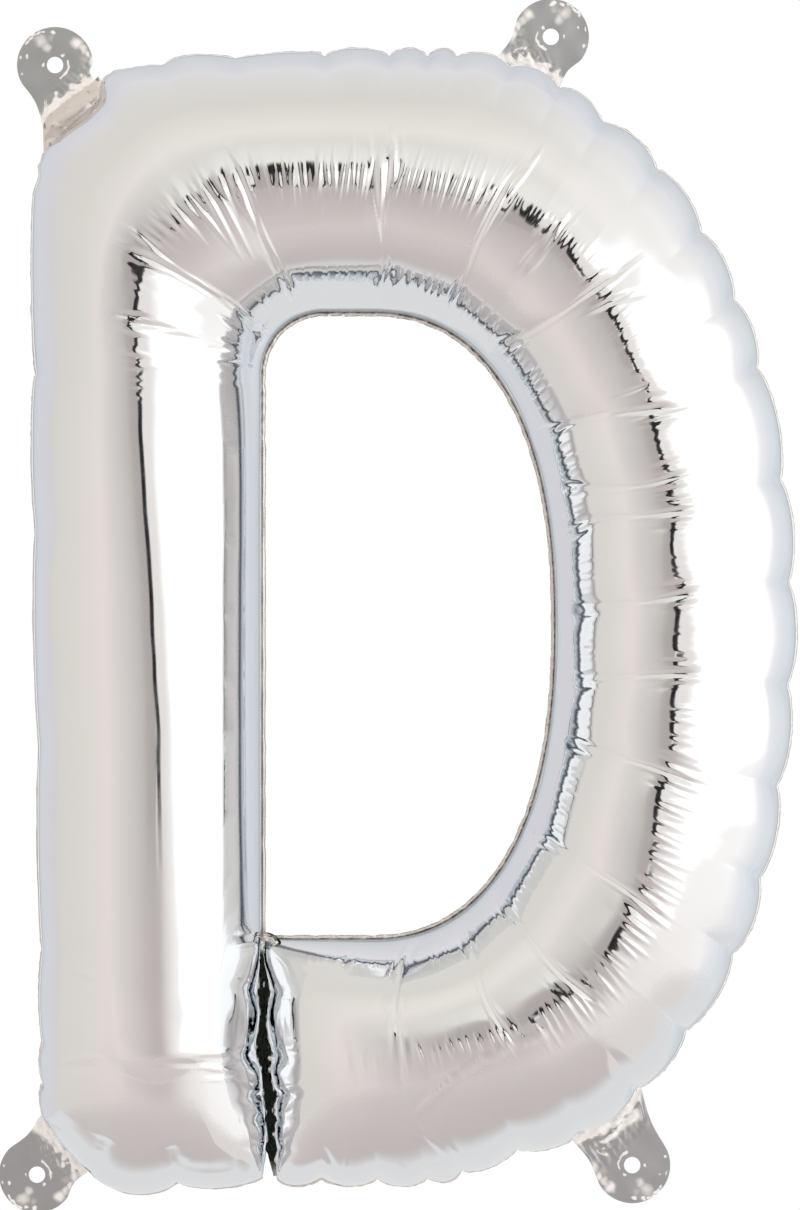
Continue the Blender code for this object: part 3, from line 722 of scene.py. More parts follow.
def membrane(plane, rounds, value=None):
    """How a film held at the edge of the letter bulges, from a finite element solution."""
    rows, columns = plane.shape[:2]
    quads = cells(rows, columns)
    triangles = np.concatenate([quads[:, [0, 1, 2]], quads[:, [0, 2, 3]]])
    corner = plane.reshape(-1, 2)[triangles]
    edge = corner[:, [2, 0, 1]] - corner[:, [1, 2, 0]]
    area = abs(edge[:, 0, 0] * edge[:, 1, 1] - edge[:, 0, 1] * edge[:, 1, 0]) / 2
    stiff = np.einsum("nik,njk->nij", edge, edge) / (4 * area)[:, None, None]
    count = rows * columns

    def gathered(parts):
        return np.bincount(triangles.ravel(), parts.ravel(), minlength=count)

    free = np.zeros((rows, columns), bool)
    free[1:-1, 1:-1] = True
    free = free.ravel()
    load = gathered((area / 3)[:, None].repeat(3, 1)) * free

    def applied(value):
        return gathered(np.einsum("nij,nj->ni", stiff, value[triangles])) * free

    diagonal = 1 + gathered(np.einsum("nii->ni", stiff))
    value = np.zeros(count) if value is None else value.ravel() * free
    residual = load - applied(value)
    step = residual / diagonal
    norm = residual @ step
    target = load @ (load / diagonal) * FILM_TOLERANCE
    for _ in range(rounds):
        if norm <= target:
            break
        image = applied(step)
        length = norm / (step @ image)
        value = value + length * step
        residual = residual - length * image
        scaled = residual / diagonal
        following = residual @ scaled
        step = scaled + (following / norm) * step
        norm = following
    return value.reshape(rows, columns)


def sheet_heights(plane):
    """The height of a full sheet above the seam, solved coarsely first and then finely."""
    rows, columns = plane.shape[:2]
    row_pick = np.unique(np.round(np.linspace(0, rows - 1, rows // 4)).astype(int))
    column_pick = np.arange(0, columns, 3)
    coarse = membrane(plane[row_pick][:, column_pick], FILM_ROUNDS[0])
    part = np.stack([np.interp(np.arange(columns), column_pick, row) for row in coarse])
    start = np.stack([np.interp(np.arange(rows), row_pick, column) for column in part.T], 1)
    return DEPTH_SHARE * np.sqrt(2 * np.maximum(membrane(plane, FILM_ROUNDS[1], start), 0))


def unit(vectors):
    """The same directions, each of length one."""
    return vectors / np.maximum(np.linalg.norm(vectors, axis=-1, keepdims=True), 1e-9)


def grid_normals(points):
    """Unit normals of a grid of points, facing the viewer."""
    normal = unit(np.cross(np.gradient(points, axis=0), np.gradient(points, axis=1)))
    return np.where(normal[..., 1:2] > 0, -normal, normal)


def add_piece(name, points, shade, made_of, node=None, turned_over=False, closed=False):
    """A smooth grid of points in millimetres, with their shades, in place of a CAD node."""
    faces = cells(*points.shape[:2], closed)
    if turned_over:
        faces = faces[:, ::-1]
    mesh = bpy.data.meshes.new(name)
    mesh.from_pydata([tuple(p) for p in points.reshape(-1, 3) * MM], [], faces.tolist())
    mesh.materials.append(made_of)
    mesh.shade_smooth()
    mesh.attributes.new(SHADE, "FLOAT", "POINT").data.foreach_set("value", np.ravel(shade))
    piece = bpy.data.objects.new(name, mesh)
    bpy.context.scene.collection.objects.link(piece)
    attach(piece, "root")
    if node:
        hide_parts(node)
    return piece


def add_film(node, points, shade, made_of, closed=False):
    """A film in place of the CAD node, from a grid of points."""
    return add_piece(node + "_film", points, shade, made_of, node, closed=closed)


def tone(text):
    """A screen colour such as "c9c5c2" as linear red, green and blue."""
    shares = [int(text[k : k + 2], 16) / 255 for k in (0, 2, 4)]
    return [s / 12.92 if s <= 0.04045 else ((s + 0.055) / 1.055) ** 2.4 for s in shares]


def light_for(colour):
    """The light that shows on the foil as that screen colour."""
    return [c / shine for c, shine in zip(tone(colour), FOIL_COLOUR)]


class Graph:
    """Nodes of one shader tree, made and joined a call at a time."""

    def __init__(self, owner):
        owner.use_nodes = True
        self.tree = owner.node_tree
        self.tree.nodes.clear()

    def node(self, kind, inputs=(), **settings):
        made = self.tree.nodes.new("ShaderNode" + kind)
        for name, value in settings.items():
            setattr(made, name, value)
        for place, value in dict(inputs).items():
            self.put(made.inputs[place], value)
        return made

    def put(self, socket, value):
        if isinstance(value, bpy.types.NodeSocket):
            self.tree.links.new(value, socket)
        else:
            socket.default_value = value

    def math(self, operation, *values):
        return self.node("Math", dict(enumerate(values)), operation=operation).outputs[0]

    def times(self, value, *factors):
        for factor in factors:
            value = self.math("MULTIPLY", value, factor)
        return value

    def eased(self, value, low, high, to_low=0.0, to_high=1.0):
        items = dict(enumerate((value, low, high, to_low, to_high)))
        return self.node("MapRange", items, interpolation_type="SMOOTHSTEP").outputs[0]

    def fall(self, value, span):
        return self.eased(value, *span, 1.0, 0.0)

    def ramp(self, factor, stops):
        made = self.node("ValToRGB", {"Fac": factor})
        elements = made.color_ramp.elements
        while len(elements) < len(stops):
            elements.new(0.5)
        for element, (place, colour) in zip(elements, stops):
            element.position = place
            element.color = (*colour, 1)
        return made.outputs["Color"]

    def vector(self, operation, inputs):
        return self.node("VectorMath", inputs, operation=operation).outputs

    def mixed(self, factor, a, b):
        return self.node("Mix", {"Factor": factor, 6: a, 7: b}, data_type="RGBA").outputs[2]

    def noise(self, place, scale, detail):
        inputs = {"Vector": place, "Scale": scale, "Detail": detail}
        return self.node("TexNoise", inputs).outputs["Fac"]

    def place(self):
        return self.node("TexCoord").outputs["Object"]

    def shade(self):
        return self.node("Attribute", attribute_name=SHADE).outputs["Fac"]

    def surface(self, inputs):
        shader = self.node("BsdfPrincipled", inputs)
        self.node("OutputMaterial", {"Surface": shader.outputs[0]})


def foil_material(name):
    """Foil with a fine unevenness, which turns to its marked colour where its shade is 1, as painted
    shade on the sheets, weld and loop.
    """
    plain, marked, roughness, marked_roughness, grain = FOILS[name]
    made = bpy.data.materials.new(name)
    graph = Graph(made)
    place = graph.place()
    cloud = graph.eased(graph.noise(place, grain, 3.0), 0.3, 0.7)
    speckle = graph.noise(place, grain * 7, 2.0)
    darker = tuple(c * CLOUD_DEPTH for c in plain)
    body = graph.mixed(cloud, (*darker, 1), (*plain, 1))
    shade = graph.shade()
    colour = graph.mixed(shade, body, (*marked, 1))
    own_roughness = graph.eased(speckle, 0.3, 0.7, roughness * 0.8, roughness * 1.2)
    rough = graph.node("Mix", {"Factor": shade, "A": own_roughness, "B": marked_roughness})
    graph.surface({"Base Color": colour, "Roughness": rough.outputs["Result"], "Metallic": 1.0})
    return made


def tab_material(name):
    """Satin foil: painted dark flecks of shade at shade 0, its own grey at a half and painted white
    highlights at 1.
    """
    made = bpy.data.materials.new("tab_" + name)
    graph = Graph(made)
    cloud = graph.noise(graph.place(), TAB_GRAIN, 3.0)
    shade = graph.shade()
    tone_at = graph.math("ADD", shade, graph.eased(cloud, 0.3, 0.7, -0.02, 0.02))
    rough = graph.eased(shade, 0.55, 0.9, 0.34, 0.75)
    graph.surface({"Base Color": graph.ramp(tone_at, TAB_TONES), "Roughness": rough, "Metallic": 1.0})
    return made


def tent_walls(graph, x, y, z, away):
    """The tent's four walls, mixed by how far to each side a direction points."""
    turned_away = graph.math("DIVIDE", graph.math("ARCCOSINE", away), math.pi)
    spread = graph.math("MAXIMUM", graph.math("SUBTRACT", 1.0, graph.times(y, y)), 1e-6)
    total = None
    walls = ((x, -1.0, TENT_LEFT), (x, 1.0, TENT_RIGHT), (z, 1.0, TENT_UP), (z, -1.0, TENT_DOWN))
    for value, sign, wall in walls:
        part = graph.math("MAXIMUM", graph.times(value, sign), 0.0)
        weight = graph.math("DIVIDE", graph.times(part, part), spread)
        stops = [(degrees / 180, light_for(colour)) for degrees, colour in wall + TENT_BEHIND]
        shown = graph.vector("SCALE", {0: graph.ramp(turned_away, stops), "Scale": weight})[0]
        total = shown if total is None else graph.vector("ADD", {0: total, 1: shown})[0]
    return total


def add_tent():
    """The world: pale tent walls, one big softbox at the right, and a dark gap by the camera."""
    world = bpy.data.worlds.new("light_tent")
    bpy.context.scene.world = world
    graph = Graph(world)
    direction = graph.node("TexCoord").outputs["Generated"]
    x, y, z = graph.node("SeparateXYZ", {"Vector": direction}).outputs
    away = graph.times(y, -1.0)
    azimuth = graph.times(graph.math("ARCTAN2", x, away), 180 / math.pi)
    elevation = graph.times(graph.math("ARCSINE", z), 180 / math.pi)
    near = graph.eased(azimuth, *NEAR_EDGE)
    near = graph.mixed(near, (*light_for(NEAR_LEFT), 1), (*light_for(NEAR_RIGHT), 1))
    close = graph.times(
        graph.fall(graph.math("ABSOLUTE", azimuth), NEAR_SIDES),
        graph.fall(elevation, NEAR_TOP),
        graph.eased(elevation, *NEAR_FOOT),
    )
    lit = graph.mixed(close, tent_walls(graph, x, y, z, away), near)
    nearest, furthest = BOX_LEFT_LIMITS
    left = nearest
    for slope, base in BOX_LEFT_LINES:
        line = graph.math("ADD", graph.times(elevation, slope), base)
        left = graph.math("MAXIMUM", left, line)
    left = graph.math("MAXIMUM", graph.math("MINIMUM", left, furthest), nearest)
    box = graph.times(
        graph.eased(graph.math("SUBTRACT", azimuth, left), *BOX_LEFT_EDGE),
        graph.fall(azimuth, BOX_RIGHT),
        graph.eased(elevation, *BOX_FOOT),
        graph.fall(elevation, BOX_TOP),
    )
    lit = graph.mixed(box, lit, BOX_LIGHT)
    wide = graph.eased(elevation, *GAP_WIDENS)
    lean = graph.math("SUBTRACT", azimuth, graph.eased(elevation, *GAP_LEANS))
    off_gap = graph.math("SUBTRACT", graph.math("ABSOLUTE", lean), wide)
    gap = graph.times(
        graph.fall(off_gap, GAP_EDGE),
        graph.eased(elevation, *GAP_FOOT),
        graph.fall(elevation, GAP_TOP),
    )
    lit = graph.mixed(gap, lit, GAP_DARK)
    seen_straight = graph.node("LightPath").outputs["Is Camera Ray"]
    shown = graph.mixed(seen_straight, lit, (1, 1, 1, 1))
    background = graph.node("Background", {"Color": shown})
    graph.node("OutputWorld", {"Surface": background.outputs[0]})


def add_floor():
    """A pale floor, well below the hanging balloon, that thins out towards its rim, with painted light
    in its colour.
    """
    settings = {"vertices": 96, "fill_type": "NGON"}
    bpy.ops.mesh.primitive_circle_add(radius=FLOOR_RADIUS, location=FLOOR_MIDDLE, **settings)
    floor = bpy.context.object
    floor.name = "floor"
    made = bpy.data.materials.new("floor_paper")
    graph = Graph(made)
    place = graph.place()
    out = graph.vector("LENGTH", {0: place})["Value"]
    x, y, _ = graph.node("SeparateXYZ", {"Vector": place}).outputs
    # Painted light: the paper turns lighter outwards and to the right, and bluer to the back
    paper = PAPER
    for value, (span, colour) in ((out, PAPER_OUT), (x, PAPER_RIGHT), (y, PAPER_BACK)):
        paper = graph.mixed(graph.eased(value, *span), paper, colour)
    graph.surface({"Base Color": paper, "Roughness": 0.9, "Alpha": graph.fall(out, FLOOR_THINS)})
    floor.data.materials.append(made)


def add_camera():
    """The photograph's view: straight on, from a little over a metre away."""
    camera = bpy.data.cameras.new("camera")
    camera.lens = LENS
    camera.sensor_width = SENSOR
    holder = bpy.data.objects.new("camera", camera)
    holder.location = Vector((VIEW_CENTRE[0], -VIEW_DISTANCE, VIEW_CENTRE[1])) * MM
    holder.rotation_euler = (math.pi / 2, 0, 0)
    bpy.context.scene.collection.objects.link(holder)
    bpy.context.scene.camera = holder


def seen(pixels):
    """Pixels of the photograph as (x, z) in the seam's plane."""
    return (np.asarray(pixels, float) - PIXEL_ZERO) * (PIXEL, -PIXEL)


def as_seen(plane, heights):
    """Where the camera shows the sheet's points, as (x, z) in the seam's plane."""
    return VIEW_CENTRE + (plane - VIEW_CENTRE) * (VIEW_DISTANCE / (VIEW_DISTANCE - heights))[..., None]


def rounded(line, rounds=2):
    """A polyline with its corners cut, keeping both of its ends."""
    line = np.asarray(line, float)
    for _ in range(rounds):
        near = line[:-1] * 0.75 + line[1:] * 0.25
        far = line[:-1] * 0.25 + line[1:] * 0.75
        inner = np.stack([near, far], 1).reshape(-1, 2)
        line = np.vstack([line[:1], inner, line[-1:]])
    return line


def beside(points, line):
    """How far each point is from a polyline, signed by its side, and at what share of it."""
    length = lengths(line)
    best = np.full(len(points), np.inf)
    share = np.zeros(len(points))
    for k in range(len(line) - 1):
        way = line[k + 1] - line[k]
        offset = points - line[k]
        at = np.clip(offset @ way / (way @ way), 0, 1)
        away = np.linalg.norm(offset - at[:, None] * way, axis=1)
        closer = away < abs(best)
        side = np.where(offset @ left_of(way) < 0, -1.0, 1.0)
        best = np.where(closer, away * side, best)
        share = np.where(closer, (length[k] + at * (length[k + 1] - length[k])) / length[-1], share)
    return best, share


def near_line(shown, line, reach):
    """The numbers of the points within reach of a polyline's box."""
    return np.flatnonzero(((shown > line.min(0) - reach) & (shown < line.max(0) + reach)).all(1))


def sink_along(shown, line, reach, depth_at):
    """How far a crease on that line sinks each point: depth_at turns a share of it to a depth."""
    near = near_line(shown, line, CREASE_TAIL * reach)
    away, share = beside(shown[near], line)
    sunk = np.zeros(len(shown))
    tail = math.exp(-CREASE_TAIL)
    sunk[near] = depth_at(share) * np.clip(np.exp(-abs(away) / reach) - tail, 0, None) / (1 - tail)
    return sunk


def strand_heights(shown, line):
    """The height that the slim strands along a long crease add at each point."""
    near = near_line(shown, line, STRAND_REACH)
    away, share = beside(shown[near], line)
    raised = np.zeros(len(shown))
    for start, end, half_width, height, low, high in STRANDS:
        room = np.clip((share - low) * (high - share), 0, None) * 4 / (high - low) ** 2
        middle = start + (end - start) * share
        width = half_width * np.maximum(room, 1e-6) ** 0.4
        raised[near] += height * room**0.5 * np.clip(1 - abs(away - middle) / width, 0, None)
    return raised


def fold_heights(shown, folds, soft):
    """The height that leaf-shaped folds add at each point, with soft or with crisp edges."""
    raised = np.zeros(len(shown))
    for middle, way, half_length, half_width, height, lean in folds:
        reach = half_length + half_width
        near = np.flatnonzero((abs(shown - middle) < reach).all(1))
        offset = shown[near] - middle
        room = np.clip(1 - (offset @ way / half_length) ** 2, 0, None) ** 0.8
        across = offset @ left_of(way) / half_width / np.maximum(room, 1e-6)
        slope = np.where(across < lean, (1 + across) / (1 + lean), (1 - across) / (1 - lean))
        slope = np.clip(slope, 0, None)
        raised[near] += height * room * (smooth(slope) if soft else slope * (2 - slope) * 0.7)
    return raised


def turned(way, degrees):
    """The direction, turned to the left by those degrees."""
    angle = math.radians(degrees)
    cos, sin = math.cos(angle), math.sin(angle)
    return np.array([way[0] * cos - way[1] * sin, way[0] * sin + way[1] * cos])


def left_of(way):
    """The direction a quarter turn to the left of that one."""
    return np.array([-way[1], way[0]])


def single_folds():
    """The folds drawn one by one, as middle, direction, half length and width, height, lean."""
    folds = []
    for x, y, end_x, end_y, half_width, height in SINGLE_FOLDS:
        a, b = seen((x, y)), seen((end_x, end_y))
        half_length = np.linalg.norm(b - a) / 2
        folds.append(((a + b) / 2, unit(b - a), half_length, half_width, height, SINGLE_LEAN))
    return folds


def folds_at_creases(crest, chance):
    """Bundles of leaf-shaped folds on each long crease: at the crest and at the counter."""
    folds = []
    for route, depth, _ in LONG_CREASES:
        line = rounded(seen(route))
        gap = np.linalg.norm(line[:, None] - crest[None], axis=2).min(1)
        crossing = int(np.clip(np.argmin(gap), 1, len(line) - 2))
        way = unit(line[crossing + 1] - line[crossing - 1])
        for k in range(FOLDS_AT_CREASE):
            place = k - (FOLDS_AT_CREASE - 1) / 2
            offset = place * FOLD_SPREAD * chance.uniform(0.8, 1.2)
            middle = line[crossing] + left_of(way) * offset + way * chance.uniform(-4, 4)
            own_way = turned(way, chance.uniform(-6, 6))
            half_length = FOLD_HALF_LENGTH * chance.uniform(0.65, 1.15) * (1 - 0.12 * abs(place))
            height = FOLD_HEIGHT * chance.uniform(0.6, 1.2) * (1 if k % 2 else -0.7) * min(depth, 1.2)
            lean = chance.uniform(-0.5, 0.5)
            folds.append((middle, own_way, half_length, FOLD_HALF_WIDTH, height, lean))
        way = unit(line[-1] - line[-3])
        for k in range(FOLDS_AT_END):
            offset = (k - (FOLDS_AT_END - 1) / 2) * END_FOLD_SPREAD
            middle = along(line, END_FOLD_SHARE) + offset * left_of(way)
            height = END_FOLD_HEIGHT * chance.uniform(0.6, 1.2) * (1 if k == 1 else -0.8)
            own_way = turned(way, chance.uniform(-8, 8))
            half_length, lean = chance.uniform(*END_FOLD_LENGTHS), chance.uniform(-0.4, 0.4)
            folds.append((middle, own_way, half_length, FOLD_HALF_WIDTH, height, lean))
    return folds


def pleats_on(curve, inwards, zones, chance):
    """Fine pleats square to a curve of the sheet, in each of the zones along it."""
    folds = []
    length = lengths(curve)
    for first, last, pitch, half_length, half_width, height, offset in zones:
        here, there = nearest_to(curve, seen(first)), nearest_to(curve, seen(last))
        low, high = sorted((length[here], length[there]))
        count = max(int((high - low) / pitch), 1)
        for k in range(count):
            at = low + (k + 0.5 + chance.uniform(-PLEAT_JITTER, PLEAT_JITTER)) * pitch
            station = int(np.argmin(abs(length - at)))
            scale = chance.uniform(0.55, 1.15)
            way = turned(inwards[station], chance.uniform(-PLEAT_TURN, PLEAT_TURN))
            shift = offset + chance.uniform(-0.25, 0.25) * half_length
            middle = curve[station] + inwards[station] * shift
            own_height = height * chance.uniform(0.5, 1.25)
            lean = chance.uniform(-0.45, 0.45)
            folds.append((middle, way, half_length * scale, half_width, own_height, lean))
    return folds


def dents(shown, chance):
    """Slow, shallow unevenness all over the foil, calmer on the stem."""
    calm = STEM_CALM + (1 - STEM_CALM) * smooth((shown[:, 0] - STEM_RIGHT) / 15)
    return DENT_HEIGHT * noise(shown, chance, *DENT_LENGTHS, DENT_WAVES) * calm


def blurred(curve, reach):
    """A curve of points, each averaged with its neighbours."""
    padded = np.pad(curve, ((reach, reach), (0, 0)), mode="edge")
    return sum(padded[k : k + len(curve)] for k in range(2 * reach + 1)) / (2 * reach + 1)


def fading(depth, power):
    """A crease's depth by how far along it: all of it at the start, none at the end."""
    return lambda share: depth * (1 - share) ** power


def arched(depth):
    """A crease's depth by how far along it: none at either end."""
    return lambda share: depth * np.clip(4 * share * (1 - share), 0, 1) ** 0.5


def deepening(depth):
    """A long crease's depth by how far along it: none at its start, all at the counter."""
    rest = 1 - CREASE_START
    return lambda share: depth * smooth(share / CREASE_FADE_IN) * (CREASE_START + rest * share)


def creased(plane, heights, ribs, seed):
    """How far each point of the sheet stands above the smooth full tube."""
    chance = np.random.default_rng(seed)
    shown_grid = as_seen(plane, heights)
    shown = shown_grid.reshape(-1, 2)
    top = np.argmax(heights, axis=1)
    crest = blurred(shown_grid[np.arange(len(top)), top], 6)
    inwards = unit(ribs[1] - ribs[0])
    leaves = single_folds() + folds_at_creases(crest, chance)
    pleats = pleats_on(crest, inwards, CREST_PLEATS, chance)
    pleats += pleats_on(plane[:, -1], -inwards, COUNTER_PLEATS, chance)
    raised = fold_heights(shown, leaves, False) + fold_heights(shown, pleats, True)
    raised += dents(shown, chance)
    for route, depth, reach in LONG_CREASES:
        line = rounded(seen(route))
        raised -= sink_along(shown, line, reach, deepening(depth))
        if len(route) > 2:
            raised += strand_heights(shown, line)
    for route, depth, reach in SOFT_LINES:
        raised -= sink_along(shown, rounded(seen(route)), reach, arched(depth))
    for row, depth in SLIT_PINCHES:
        z = (PIXEL_ZERO[1] - row) * PIXEL
        for side in (1, 2):
            start = np.array([slit_edge(z, side, SLIT_CALM), z])
            way = np.array([SLIT_PINCH_LENGTH * PIXEL * (2 * side - 3), chance.uniform(-2.5, 2.5)])
            line = np.stack([start, start + way])
            raised -= sink_along(shown, line, SLIT_PINCH_REACH, fading(depth, 1.3))
    outer, _, pleat_depth, bulge = ribs
    for station in np.flatnonzero((bulge[1:-1] <= bulge[:-2]) & (bulge[1:-1] < bulge[2:])) + 1:
        line = np.stack([outer[station], outer[station] + inwards[station] * SEAM_FOLD_REACH])
        depth = SEAM_FOLD_DEPTH * pleat_depth[station] / BOWL_PLEAT_DEPTH
        raised -= sink_along(shown, line, SEAM_FOLD_WIDTH, fading(depth, 1.2))
    return raised.reshape(heights.shape)


def upright(plane, y):
    """The plane's points at those depths, as (x, y, z)."""
    return np.stack([plane[..., 0], np.broadcast_to(y, plane.shape[:-1]), plane[..., 1]], -1)


def noise(places, chance, longest, shortest, count=24):
    """A smooth random value at each (x, z), about one in size."""
    value = np.zeros(places.shape[:-1])
    for _ in range(count):
        turn = chance.uniform(0, 2 * math.pi)
        wave = 2 * math.pi / chance.uniform(shortest, longest)
        way = np.array([math.cos(turn), math.sin(turn)]) * wave
        value += np.sin(places @ way + chance.uniform(0, 2 * math.pi))
    return value * math.sqrt(2 / count)


def lean_of(outer):
    """How far the crest leans to one side, for ribs that start at those outer points."""
    x, z = outer[:, 0], outer[:, 1]
    turn = np.degrees(np.arctan2(z - ARC_CENTRE[1], x - ARC_CENTRE[0]))
    round_it = np.interp(turn, *zip(*TURN_LEANS))
    on_stem = (x < STEM_RIGHT) & (z < ARC_CENTRE[1])
    return np.where(on_stem, np.interp(-z, *zip(*STEM_LEANS)), round_it)


def sheet_shade(plane, heights, from_inner, seam_shade_heights):
    """Where a sheet has painted shade: dark by the counter's seam, faintly down the stem's inner side.
    """
    dark = smooth((seam_shade_heights[1] - heights) / (seam_shade_heights[1] - seam_shade_heights[0]))
    stem_shade = np.exp(-(((from_inner - STEM_SHADE_MIDDLE) / STEM_SHADE_WIDTH) ** 2)) * (plane[..., 0] < STEM_RIGHT + 0.5)
    shade = np.maximum(dark * (from_inner < SEAM_SHADE_FROM), STEM_SHADE_DEPTH * stem_shade)
    return shade * (plane[..., 1] > COUNTER_BOTTOM - 1)


def add_sheet(name, side, fineness, across, seam_shade_heights, seed):
    """One half of the full tube, towards the viewer (side -1) or away (side 1)."""
    ribs = tube_ribs(fineness)
    plane = plane_grid(ribs, across)
    heights = sheet_heights(plane)
    off_middle = 2 * across_shares(across) - 1
    heights = heights * (1 + lean_of(ribs[0])[:, None] * (off_middle * (1 - off_middle**2))[None])
    from_outer, from_inner = [np.linalg.norm(plane - plane[:, [end]], axis=2) for end in (0, -1)]
    rise = smooth(from_inner / FLANK_FOOT)
    fall = np.clip((FLANK_TOP - from_inner) / (FLANK_TOP - FLANK_FOOT), 0, 1)
    band = EDGE_BAND + EDGE_DRIFT * noise(plane, np.random.default_rng(seed + 40), 90.0, 35.0)
    ridge = EDGE_RIDGE * np.exp(-abs(from_outer - band) / EDGE_REACH)
    heights = heights + (ridge - FLANK_DROP * rise * fall) * np.minimum(heights / 10, 1)
    points = upright(plane, -(SEAM_Y + heights))
    by_slit = (plane[..., 1] < SLIT_TOP_Z) & (abs(plane[..., 0] - BOWL_END_X) < 2 * SLIT_REACH)
    fade = smooth(np.minimum(from_outer, from_inner) / np.where(by_slit, SLIT_FADE, SEAM_FADE))
    fade[0] = fade[-1] = 0
    points += grid_normals(points) * (creased(plane, heights, ribs, seed) * fade)[..., None]
    points[..., 1] *= -side
    # Painted shade by the counter's seam and down the stem's inner side
    shade = sheet_shade(plane, heights, from_inner, seam_shade_heights)
    node = name.replace("foil", "sheet")
    add_piece(name, points, shade, foil_material(name), node, turned_over=side < 0)
    return plane


def add_rim(name, edge, inwards, reach, closed, seed):
    """A welded rim: a crimped flat band with beads along it."""
    chance = np.random.default_rng(seed)
    share = np.linspace(0, 1, RIM_ACROSS)
    wobble = RIM_WOBBLE * noise(edge, chance, 9.0, 2.0)
    offset = reach[0] + (reach[1] - reach[0]) * share[None] + wobble[:, None] * (1 - share[None])
    place = edge[:, None] + inwards[:, None] * offset[..., None]
    crimps = noise(place, chance, 5.0, 1.2)
    bead = RIM_BEAD * np.sin(share * 5 * math.pi)[None] * (1 + 0.5 * crimps)
    flecks = smooth((noise(place, chance, 6.0, 1.6) - 1.3) / 0.7)
    line = np.exp(-(((share - RIM_LINE[0]) / RIM_LINE[1]) ** 2))[None] * (0.14 + 0.08 * crimps)
    shade = np.clip(np.maximum(flecks * 0.3, line), 0, 1)
    points = upright(place, bead + RIM_CRIMP * crimps)
    add_film(name, points, shade, foil_material(name), closed)


def outer_line(plane):
    """The letter's outer edge, from one end of the slit round to the other, and its way in."""
    outside = np.vstack([plane[0, :0:-1], plane[:, 0]])
    within = np.vstack([plane[1, :0:-1], plane[1:2, 1], plane[1:, 1]])
    return outside, unit(blurred(unit(within - outside), 7))


def add_rims(plane):
    """The welded rims round the letter and round the counter."""
    add_rim("outer_rim", *outer_line(plane), OUTER_RIM, False, 21)
    rows = plane[plane[:, -1, 1] >= COUNTER_BOTTOM - 1e-6]
    inwards = unit(rows[:, -2] - rows[:, -1])
    add_rim("counter_rim", rows[:, -1], inwards, COUNTER_RIM, True, 22)


def add_weld():
    """The crumpled foil down the slit, painted black down its middle as shade, with painted glints."""
    chance = np.random.default_rng(31)
    rows, columns = WELD_GRID
    z = np.linspace(FOOT_Z + 3, COUNTER_BOTTOM - 1.0, rows)
    raw_left, raw_right = slit_edge(z, 1), slit_edge(z, 2)
    left = np.minimum(raw_left, slit_edge(z, 1, SLIT_CALM)) - WELD_OVERLAP
    right = np.maximum(raw_right, slit_edge(z, 2, SLIT_CALM)) + WELD_OVERLAP
    left = left + WELD_TAPER * (right - left) * smooth((WELD_TAPER_Z - z) / 12)
    share = np.linspace(0, 1, columns)
    place = between(np.stack([left, z], -1), np.stack([right, z], -1), share)
    crumple = noise(place, chance, 5.0, 2.0)
    y = WELD_Y - WELD_CURL * abs(2 * share - 1)[None] ** 1.5 + WELD_CRUMPLE * crumple
    # Painted glints that lighten the painted shadow
    painted_glint = smooth((noise(place * (1.0, 0.35), chance, 2.2, 0.9, 40) - 2.1) / 0.2)
    streaks = noise(place * (1.0, 0.12), chance, 1.5, 0.6)
    width = raw_right - raw_left + 2 * WELD_OVERLAP
    off_middle = abs((2 * place[..., 0].T - raw_left - raw_right) / width).T
    # Painted shadow: black down the middle of the slit, fading in below its top and easing off at its
    # foot
    painted_shadow = smooth((1.0 - off_middle + 0.16 * crumple + 0.1 * streaks) / 0.16)
    into_top = smooth((WELD_TOP_Z - z) / 2.5)
    out_of_foot = 1 - 0.6 * smooth((WELD_TAPER_Z - 6 - z) / 5)
    shade = painted_shadow * (into_top * out_of_foot)[:, None] * (1 - 0.9 * painted_glint)
    made_of = foil_material("weld_foil")
    weld = add_film("stem_to_bowl_weld", upright(place, y), shade, made_of)
    weld.visible_glossy = False
    add_loop(chance)


def add_loop(chance):
    """The small loop of foil that bridges the top of the slit, with painted shade along its outer edge.
    """
    ways = rays(np.radians(np.linspace(*LOOP_TURN, LOOP_GRID[0])))
    reach = np.linspace(0.5, 1, LOOP_GRID[1]) * LOOP_RADIUS
    place = seen(LOOP_PIXEL) + ways[:, None] * reach[None, :, None]
    fold = 0.3 * np.sin(reach * 4.2)[None] + 0.12 * noise(place, chance, 3.0, 1.0)
    # Painted shade along the loop's outer edge
    rim = smooth((reach / reach[-1] - 0.82) / 0.06)[None] * smooth(noise(place, chance, 6.0, 3.0) + 1.4)
    points = upright(place, LOOP_Y + fold)
    add_piece("weld_loop", points, rim, foil_material("weld_loop"))


def tab_outline(hole, base):
    """The tab's edge: its base along the letter, and the arc round its hole."""
    turns = []
    for point, side in ((base[-1], 1), (base[0], -1)):
        away = point - hole
        reach = max(np.linalg.norm(away), TAB_RADIUS)
        turns.append(math.atan2(away[1], away[0]) + side * math.acos(TAB_RADIUS / reach))
    start, stop = turns
    stop += 2 * math.pi * math.ceil((start - stop) / (2 * math.pi))
    turn = np.linspace(start, stop, 73)
    arc = hole + TAB_RADIUS * rays(turn)
    necks = []
    for first, last in ((base[-1], arc[0]), (arc[-1], base[0])):
        share = np.linspace(0, 1, 18)[1:-1]
        side = np.array([first[1] - last[1], last[0] - first[0]])
        sag = TAB_NECK_SAG * np.sin(np.pi * share) ** 1.4
        line = first + (last - first) * share[:, None]
        necks.append(line + unit(side) * sag[:, None])
    return np.vstack([base, necks[0], arc, necks[1]])


